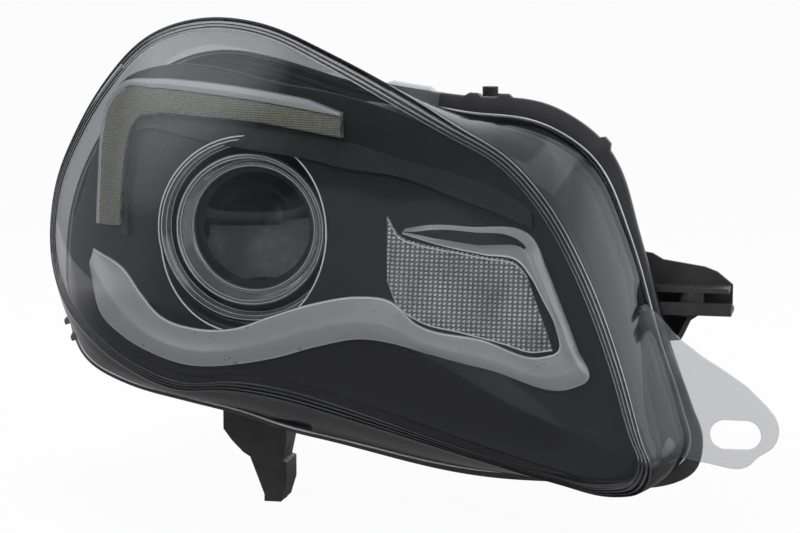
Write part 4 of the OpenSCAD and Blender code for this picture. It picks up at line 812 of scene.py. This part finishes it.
add("bezel_face", *plate(bezel_field, bezel_at, BEZEL_T, BEZEL_SPAN, BEZEL_STEP), M["gloss_black"],
    "gloss_black", replaces=("main_bezel",))
rings = [edge_ring(EDGE_R * (1 - math.sin(a)), EDGE_R * (1 - math.cos(a))) for a in np.linspace(0, 1.5, 6)]
rings += wall_rings(edge_ring(0, EDGE_R * 1.1), side_ring(0, 2), seam_ring(SKIRT, 0), 14)
rings += [seam_ring(SKIRT, SKIRT_D), seam_ring(SKIRT - BEZEL_T, SKIRT_D)]
rings += wall_rings(seam_ring(SKIRT - BEZEL_T, 0), side_ring(-BEZEL_T, 1), edge_ring(1.6, 4), 12)
rings += [edge_ring(EDGE_R + 1, BEZEL_T)]
add("bezel_side", *loft(rings, True), M["gloss_black"], "gloss_black", replaces=("main_bezel",))
sections = [tunnel_section(t) for t in turn_steps(TUNNEL_STEPS)]
add("bezel_tunnel", *loft(sections, True), M["gloss_black"], "gloss_black", replaces=("main_bezel",))

# satin band: from the light guide's inner corner over the projector to the inner end
BROW_TOP = [[-391.4, 24], [-394, 46], [-399, 84], [-398.5, 94], [-391.5, 101], [-364, 103.5], [-333, 103],
    [-293, 102], [-259, 100], [-223, 95], [-184.5, 85.5], [-144, 77], [-117, 69.5], [-96, 57]]
BROW_LIP = [[-383, 25], [-386.5, 47], [-393, 82], [-390.5, 89.5], [-384, 93], [-343, 92], [-321.5, 89.7],
    [-291, 87], [-243, 82.5], [-225, 79], [-183.5, 74.5], [-143, 62.5], [-116.5, 54], [-95, 46]]
brow = ribbon(curve(BROW_TOP, FINE), curve(BROW_LIP, FINE), off=-1.0, lift=knots([0, 0.8, 1.8, 3.0, 3.6]),
    thick=0.2, across=16, r=1.0)
add("brow_band", *brow, M["satin_black"], "gloss_black")

# ---------------------------------------------------------------- light guide and its trim
STAND, GUIDE_T, TRIM_STEP = 0.8, 8, 0.5
TRIM_W = [1.8, 1.8, 2, 2.6, 4, 6, 7, 7, 6, 2]
guide_off, trim_off = -STAND - GUIDE_T, -STAND - GUIDE_T - TRIM_STEP
guide = ribbon(DRL_OUT, DRL_IN, off=guide_off, lift=knots([0, 1.2, 1.6, 1.2, 0]), thick=GUIDE_T,
    across=16, r=1.4)
add("light_guide", *guide, M["guide_clear"], "guide_clear", replaces=("drl_light_guide",))
widths = np.interp(np.arange(len(DRL_OUT)) / FINE, np.arange(len(TRIM_W)), TRIM_W)
trim_in = shifted(DRL_OUT, DRL_IN, SEAT_GAP)
trim_out = trim_in + widths[:, None] * unit(DRL_OUT - DRL_IN)
trim = ribbon(trim_out, trim_in, off=trim_off, lift=knots([0, 0.8, 0]), thick=GUIDE_T + TRIM_STEP,
    across=12, r=0.5)
add("guide_trim", *trim, M["satin_silver"], "satin_silver", replaces=("drl_trim",))

# ---------------------------------------------------------------- wing trim and turn signal
WING_A = [[-415, 12], [-384, 2], [-368, -12], [-352, -24], [-323, -29.5], [-295, -27], [-268, -17],
    [-236, -6], [-206, 0], [-186, -1], [-166, -15], [-125, -22.5], [-85, -31.5], [-76.5, -28], [-78, -14],
    [-87, 3], [-95.5, 17], [-103, 25.4], [-125, 29], [-152, 33.6], [-179, 40]]
WING_B = [[-416, -3], [-403, -30], [-384, -41], [-360, -49], [-328, -54], [-298, -51], [-266, -44],
    [-232, -33], [-203, -26.5], [-184, -27.5], [-160, -32.5], [-118, -41], [-66, -50], [-57, -45],
    [-64, -26], [-76, 2], [-85, 22], [-95, 41], [-136, 46], [-163, 46], [-177, 43.5]]
WING_CREST, WING_DROP, CREST_AT, PAST_CREST = 5.0, 4.6, 0.55, 0.45
wing_off = -STAND - BEZEL_T
wing_a, wing_b = curve(WING_A, 10), curve(WING_B, 10)


def wing_lift(u, s, q):
    """the wing rises to a crest at a share u of its width and falls again past it"""
    up = WING_CREST * (np.clip(u, 0, CREST_AT) / CREST_AT) ** 1.8
    down = WING_DROP * (np.clip(u - CREST_AT, 0, 1) / PAST_CREST) ** 1.5
    return up - down


LINE_IN = 0.15


def painted_highlight_line(name, a, b, off, wide, last=None):
    """a painted highlight: a fine near-white line along the edge a of the strip between a and b, up to the
    point last, standing in for that edge's gleam
    """
    d = unit(b - a)[:last]
    line = ribbon(a[:last] + LINE_IN * d, a[:last] + (LINE_IN + wide) * d, off=off, lift=knots([0, 0.25, 0]),
        thick=0.9, across=6, r=0.25)
    add(name, *line, M["painted_highlight_white"], "satin_silver")


turn_top, turn_low = curve(TURN_TOP, FINE), curve(TURN_LOW, FINE)
# painted highlights along the wing's edges, the turn signal's edges and the light guide's outer edge
painted_highlight_line("wing_highlight_top", wing_a, wing_b, off=-3.5, wide=1.1)
painted_highlight_line("wing_highlight_low", wing_b, wing_a, off=-3.5, wide=0.8)
painted_highlight_line("turn_highlight_top", turn_top, turn_low, off=-3.9, wide=0.7)
painted_highlight_line("turn_highlight_low", shifted(turn_low, turn_top, 1.2), turn_top, off=-3.9, wide=0.7)
painted_highlight_line("guide_highlight", DRL_OUT, DRL_IN, off=trim_off, wide=0.7, last=50)
wing = ribbon(wing_a, wing_b, off=wing_off, lift=wing_lift, thick=BEZEL_T, across=40, r=1.2)
add("wing", *wing, M["satin_silver"], "satin_silver", replaces=("wing_trim",))

# dark insert along the wing's upper arm, over the turn signal: half its width as a share of the wing's
INSERT_FROM, INSERT_TO, INSERT_MID = 170, 201, 0.6
INSERT_HALF = [0.04, 0.16, 0.2, 0.2, 0.17, 0.1, 0.03]
k = np.arange(INSERT_FROM, INSERT_TO)
half = np.interp(np.arange(len(k)) / 5, np.arange(len(INSERT_HALF)), INSERT_HALF)[:, None]
insert_a = mix(wing_a[k], wing_b[k], INSERT_MID - half)
insert_b = mix(wing_a[k], wing_b[k], INSERT_MID + 1.3 * half)
insert = ribbon(insert_a, insert_b, off=-8.6, lift=knots([0, 0.3, 0]), thick=0.9, across=10, r=0.3)
add("wing_dark_insert", *insert, M["gloss_black"], "gloss_black", replaces=("wing_insert",))

FLUTE_STEPS, COLUMN_H, PILLOW_H, FLUTE_EASE = 40, 0.8, 0.6, 12
turn_fine_a, turn_fine_b = curve(TURN_TOP, FLUTE_STEPS), curve(TURN_LOW, FLUTE_STEPS)
turn_fine_a, turn_fine_b = shifted(turn_fine_a, turn_fine_b, 0.6), shifted(turn_fine_b, turn_fine_a, 1.4)


def flutes(u, s, q):
    """small pillows in columns, which flatten towards the turn signal's edges"""
    column = 0.5 + 0.5 * np.sin(q[:, 0] * 2 * math.pi / FLUTE_PITCH[0])
    pillow = 0.5 + 0.5 * np.sin(q[:, 1] * 2 * math.pi / FLUTE_PITCH[1])
    margin = np.clip(np.minimum(np.minimum(u, 1 - u), np.minimum(s, 1 - s)) * FLUTE_EASE, 0, 1)
    return margin * (COLUMN_H * column + PILLOW_H * pillow)


fluted = ribbon(turn_fine_a, turn_fine_b, off=wing_off, lift=flutes, thick=BEZEL_T, across=110, r=0.5)
add("turn_flutes", *fluted, M["flute_clear"], "flute_clear", replaces=("turn_lens",))

NECK_R, NECK_D, BOWL_SET, MIRROR_T, CONE_DEPTH, CONE_POWER = 18, 46, 3.2, 2, 1.08, 1.35
turn_rim = loop(turn_top, turn_low)
neck_y = ring_y + NECK_D


def cone_ring(w, t):
    """ring of the turn signal's reflector, w 0 at its rim and 1 at its neck, t outside its inner face"""
    centre = np.array([turn_x, turn_z])
    d = unit(turn_rim - centre)
    q = mix(turn_rim, centre + (NECK_R + t) * d, w) + t * (1 - w) * d
    return lift_ring(q, mix(bezel_at(turn_rim) + BOWL_SET, neck_y, CONE_DEPTH * w**CONE_POWER))


steps = np.linspace(0, 1, 14)
outer = [cone_ring(w, MIRROR_T) for w in steps[::-1]]
inner = [cone_ring(w, 0) for w in steps]
add("turn_mirror", *loft(outer + inner, True), M["bright_chrome"], "bright_chrome",
    replaces=("turn_reflector",))

# ---------------------------------------------------------------- projector
GLASS_H, GLASS_EDGE, RING_STEPS, OUTER_STEPS = 20.0, 4.0, 160, 192
low, high = box_mm("projector_glass")
glass_r = (high[0] - low[0]) / 2
glass_back = GLASS_H + GLASS_EDGE
ball_r = (glass_r**2 + GLASS_H**2) / (2 * GLASS_H)
rim_angle = math.asin((glass_r - 0.5) / ball_r)
profile = [(0, glass_back)]
profile += [(ball_r * math.sin(t), ball_r * (1 - math.cos(t))) for t in np.linspace(0, rim_angle, 40)]
profile += [(glass_r - 0.1, GLASS_H - 0.1), (glass_r, GLASS_H + 0.4), (glass_r, glass_back - 0.4),
    (glass_r - 0.4, glass_back)]
add("glass_dome", *lathe(profile, (proj_x, low[1], proj_z), RING_STEPS), M["optic_glass"], "optic_glass",
    "beam", replaces=("projector_glass",))
ring_at = (proj_x, ring_y, proj_z)


def bead(r, y, size, a, b):
    """points round the front of a rib, from angle a to b; 0 points outward, 90 to the front"""
    t = np.radians(np.linspace(a, b, 9))
    return list(zip(r + size * np.cos(t), y - size * np.sin(t)))


def hollow(a, b, sag):
    """a dished slope between two points of a profile"""
    t = np.linspace(0, 1, 10)
    bow = sag * np.sin(math.pi * t)
    return list(zip(a[0] + (b[0] - a[0]) * t - bow * 0.6, a[1] + (b[1] - a[1]) * t + bow * 0.8))


# inner ring: a bead round the glass, a dished slope, and two beads at its outer edge
low, high = box_mm("projector_ring")
inner_r = (high[0] - low[0]) / 2
seat_r = glass_r + 4.3
ring = [(seat_r - 0.9, 14), (seat_r - 0.9, 12.6)] + bead(seat_r + 0.1, 12.2, 0.75, 190, 60)
ring += hollow((seat_r + 1.2, 11.2), (inner_r - 3.9, 4.0), 0.9)
ring += bead(inner_r - 3.2, 3.5, 0.45, 170, 30) + [(inner_r - 2.3, 4.0)]
ring += bead(inner_r - 1.1, 3.1, 1.1, 170, 0)
ring += [(inner_r, 5.6), (seat_r + 2.2, 14), (seat_r + 2.2, 27), (seat_r, 27), (seat_r, 15)]
add("inner_ring", *lathe(ring, ring_at, RING_STEPS), M["bright_chrome"], "bright_chrome", "beam",
    replaces=("projector_ring",))

# outer ring: ribs that step inwards and back like stairs
RIBS, STAIR_IN, STAIR_BACK = 5, 1.0, 2.1
low, high = box_mm("bezel_ring")
outer_r = (high[0] - low[0]) / 2
ring = [(outer_r - 1.6, 23), (outer_r - 1.6, 15), (outer_r - 4.9, 12)]
for step in range(RIBS - 1, -1, -1):
    ring += [(outer_r - 0.6 - step * STAIR_IN, 2.0 + step * STAIR_BACK)]
    ring += bead(outer_r - 0.75 - step * STAIR_IN, 0.75 + step * STAIR_BACK, 0.62, 190, 40)
ring += [(outer_r, 1.2), (outer_r, 23)]
add("outer_ring", *lathe(ring, ring_at, OUTER_STEPS), M["ring_silver"], "satin_silver",
    replaces=("bezel_ring",))

# painted highlights: fine near-white lines on the tips of the rings' ribs and round the tunnel's lip,
# standing in for their gleam
LINE_STEPS = 10


def highlight_ring(name, r, y, thick, body):
    t = turn_steps(LINE_STEPS)
    section = list(zip(r + thick * np.cos(t), y + thick * np.sin(t)))
    add(name, *lathe(section, ring_at, OUTER_STEPS), M["painted_highlight_white"], "satin_silver", body)


for step in range(0, RIBS, 2):
    highlight_ring("rib_line_%d" % step, outer_r - 0.85 - step * STAIR_IN, 0.22 + step * STAIR_BACK, 0.3, "lamp")
highlight_ring("ring_highlight_outer", inner_r - 1.2, 2.15, 0.34, "beam")
highlight_ring("ring_highlight_mid", inner_r - 3.2, 3.15, 0.24, "beam")
highlight_ring("ring_highlight_inner", seat_r + 0.1, 11.6, 0.3, "beam")
LINE_AT, LINE_R, LINE_FWD, LINE_LIMIT = 1.1, 0.5, 0.6, 1


def tunnel_highlight_section(t):
    crest = axis_point(tunnel_r + TUNNEL_CREST, t)[None]
    face_y = min(float(bezel_at(crest)[0]) - LINE_FWD, ring_y + LINE_LIMIT)
    section = []
    for a in turn_steps(LINE_STEPS):
        x, z = axis_point(tunnel_r + LINE_AT + LINE_R * math.cos(a), t)
        section.append((x, face_y + LINE_R * math.sin(a), z))
    return np.array(section)


sections = [tunnel_highlight_section(t) for t in turn_steps(TUNNEL_STEPS)]
add("tunnel_highlight", *loft(sections, True), M["painted_highlight_white"], "satin_silver")

# ---------------------------------------------------------------- floor
FLOOR_HALF, FLOOR_DROP = 20, 0.0008
floor_z = start_box[0][2] - FLOOR_DROP
corners = [(x * FLOOR_HALF, y * FLOOR_HALF, floor_z) for x, y in ((-1, -1), (1, -1), (1, 1), (-1, 1))]
floor_mesh = bpy.data.meshes.new("floor")
floor_mesh.from_pydata(corners, [], [(0, 1, 2, 3)])
floor = bpy.data.objects.new("floor", floor_mesh)
scene.collection.objects.link(floor)


def mirrored_rays(tree, path):
    """1 for what gloss and glass see, 0 for what the camera sees or what lights plain surfaces"""
    return sum_of(tree, path.outputs["Is Glossy Ray"], path.outputs["Is Transmission Ray"])


def floor_white():
    """white for the camera; gloss and glass see it darker in front of the lamp than behind"""
    m = bpy.data.materials.new("floor_white")
    m.use_nodes = True
    t = m.node_tree
    t.nodes.clear()
    plain = t.nodes.new("ShaderNodeBsdfDiffuse")
    plain.inputs["Color"].default_value = (0.9, 0.9, 0.9, 1)
    white = t.nodes.new("ShaderNodeEmission")
    path = t.nodes.new("ShaderNodeLightPath")
    where = t.nodes.new("ShaderNodeSeparateXYZ")
    t.links.new(t.nodes.new("ShaderNodeTexCoord").outputs["Object"], where.inputs[0])
    t.links.new(ramp(t, where.outputs["Y"], 0.13, 0.65, 0.1, 0.8), white.inputs["Strength"])
    seen = t.nodes.new("ShaderNodeEmission")
    look = mixed(t, mirrored_rays(t, path), plain.outputs[0], white.outputs[0])
    look = mixed(t, ramp(t, path.outputs["Is Camera Ray"], 0, 0.95, 0, 1), look, seen.outputs[0])
    t.links.new(look, t.nodes.new("ShaderNodeOutputMaterial").inputs[0])
    return m


floor_mesh.materials.append(floor_white())

# ---------------------------------------------------------------- room
# white all round for the camera; gloss and glass see a darker room in front of the lamp,
# with soft bright patches, nowhere brighter than white
FRONT, DARK_FRONT = (0.0, -0.98, 0.2), 0.19
DIFFUSE_LEVEL = 0.45
STRIP_NORMAL, STRIP_CENTRE = (0.745, 0.282, -0.605), (0.47, 0.4, 0.77)
# direction, strength, and the cosines to that direction where a patch starts and where it is full
PATCHES = [((-0.78, 0.10, 0.66), 1.0, 0.90, 0.985), ((0.78, -0.55, 0.3), 1.0, 0.90, 0.97),
    ((-0.6, -0.7, -0.4), 0.9, 0.92, 0.985), ((0.65, -0.65, -0.4), 1.0, 0.93, 0.98),
    ((-0.45, -0.85, 0.1), 0.14, 0.87, 0.89)]
world = bpy.data.worlds.new("world")
scene.world = world
world.use_nodes = True
room = world.node_tree
room.nodes.clear()


def toward(direction):
    """cosine between a ray's direction and the given one"""
    d = room.nodes.new("ShaderNodeVectorMath")
    d.operation = "DOT_PRODUCT"
    d.inputs[1].default_value = direction
    room.links.new(room.nodes.new("ShaderNodeTexCoord").outputs["Generated"], d.inputs[0])
    return d.outputs["Value"]


def softbox(direction, strength, edge, core):
    """a soft bright patch of the room, seen in gloss and glass only"""
    return ramp(room, toward(Vector(direction).normalized()), 0, strength, edge, core)


def strip_light(normal, centre, strength):
    """a long narrow bright band of the room, seen in gloss and glass only"""
    off = room.nodes.new("ShaderNodeMath")
    off.operation = "ABSOLUTE"
    room.links.new(toward(Vector(normal).normalized()), off.inputs[0])
    return times(room, ramp(room, off.outputs[0], 1, 0, 0.055, 0.09), softbox(centre, strength, 0.80, 0.90))


def room_level():
    """even light that falls off overhead and on the wing's side"""
    height = room.nodes.new("ShaderNodeSeparateXYZ")
    room.links.new(room.nodes.new("ShaderNodeTexCoord").outputs["Generated"], height.inputs[0])
    overhead = ramp(room, height.outputs["Z"], 1.0, 0.5, 0.45, 0.75)
    return times(room, overhead, ramp(room, height.outputs["X"], 0.3, 1.0, -0.8, -0.2))


def background(color=(1, 1, 1, 1)):
    back = room.nodes.new("ShaderNodeBackground")
    back.inputs["Color"].default_value = color
    return back


path = room.nodes.new("ShaderNodeLightPath")
dark_front = ramp(room, toward(FRONT), 1.0, DARK_FRONT, 0.15, 0.65)
glow = sum_of(room, strip_light(STRIP_NORMAL, STRIP_CENTRE, 1.0), *[softbox(*patch) for patch in PATCHES])
lit = sum_of(room, glow, times(room, room_level(), dark_front))
seen_in_gloss = background((0.93, 0.97, 1.0, 1))
room.links.new(ramp(room, lit, 0, 1, 0, 1), seen_in_gloss.inputs["Strength"])
on_plain, for_camera = background(), background()
on_plain.inputs["Strength"].default_value = DIFFUSE_LEVEL
look = mixed(room, mirrored_rays(room, path), on_plain.outputs[0], seen_in_gloss.outputs[0])
look = mixed(room, path.outputs["Is Camera Ray"], look, for_camera.outputs[0])
room.links.new(look, room.nodes.new("ShaderNodeOutputWorld").inputs[0])


# ---------------------------------------------------------------- lamps
def area(name, at, to, width, height, power):
    """an area lamp of one plain level, which gloss and glass don't show"""
    light = bpy.data.lights.new(name, "AREA")
    light.shape, light.size, light.size_y, light.energy = "RECTANGLE", width, height, power
    made = bpy.data.objects.new(name, light)
    back = (Vector(at) - Vector(to)).normalized()
    side = back.cross(Vector((0, 0, 1)))
    side = (side - side.dot(back) * back).normalized()
    made.matrix_world = Matrix((side, back.cross(side), back)).transposed().to_4x4()
    made.location = at
    made.visible_glossy = made.visible_transmission = False
    scene.collection.objects.link(made)


AIM_UP = 0.03
aim = ((start_box[0][0] + start_box[1][0]) / 2, 0, AIM_UP)
area("key", (-1.0, -1.5, 1.5), aim, 1.4, 1.0, 21)
area("fill", (1.5, -1.3, 0.7), aim, 1.0, 1.0, 8)
area("top", (-0.2, 0.5, 1.6), aim, 1.6, 0.8, 8)
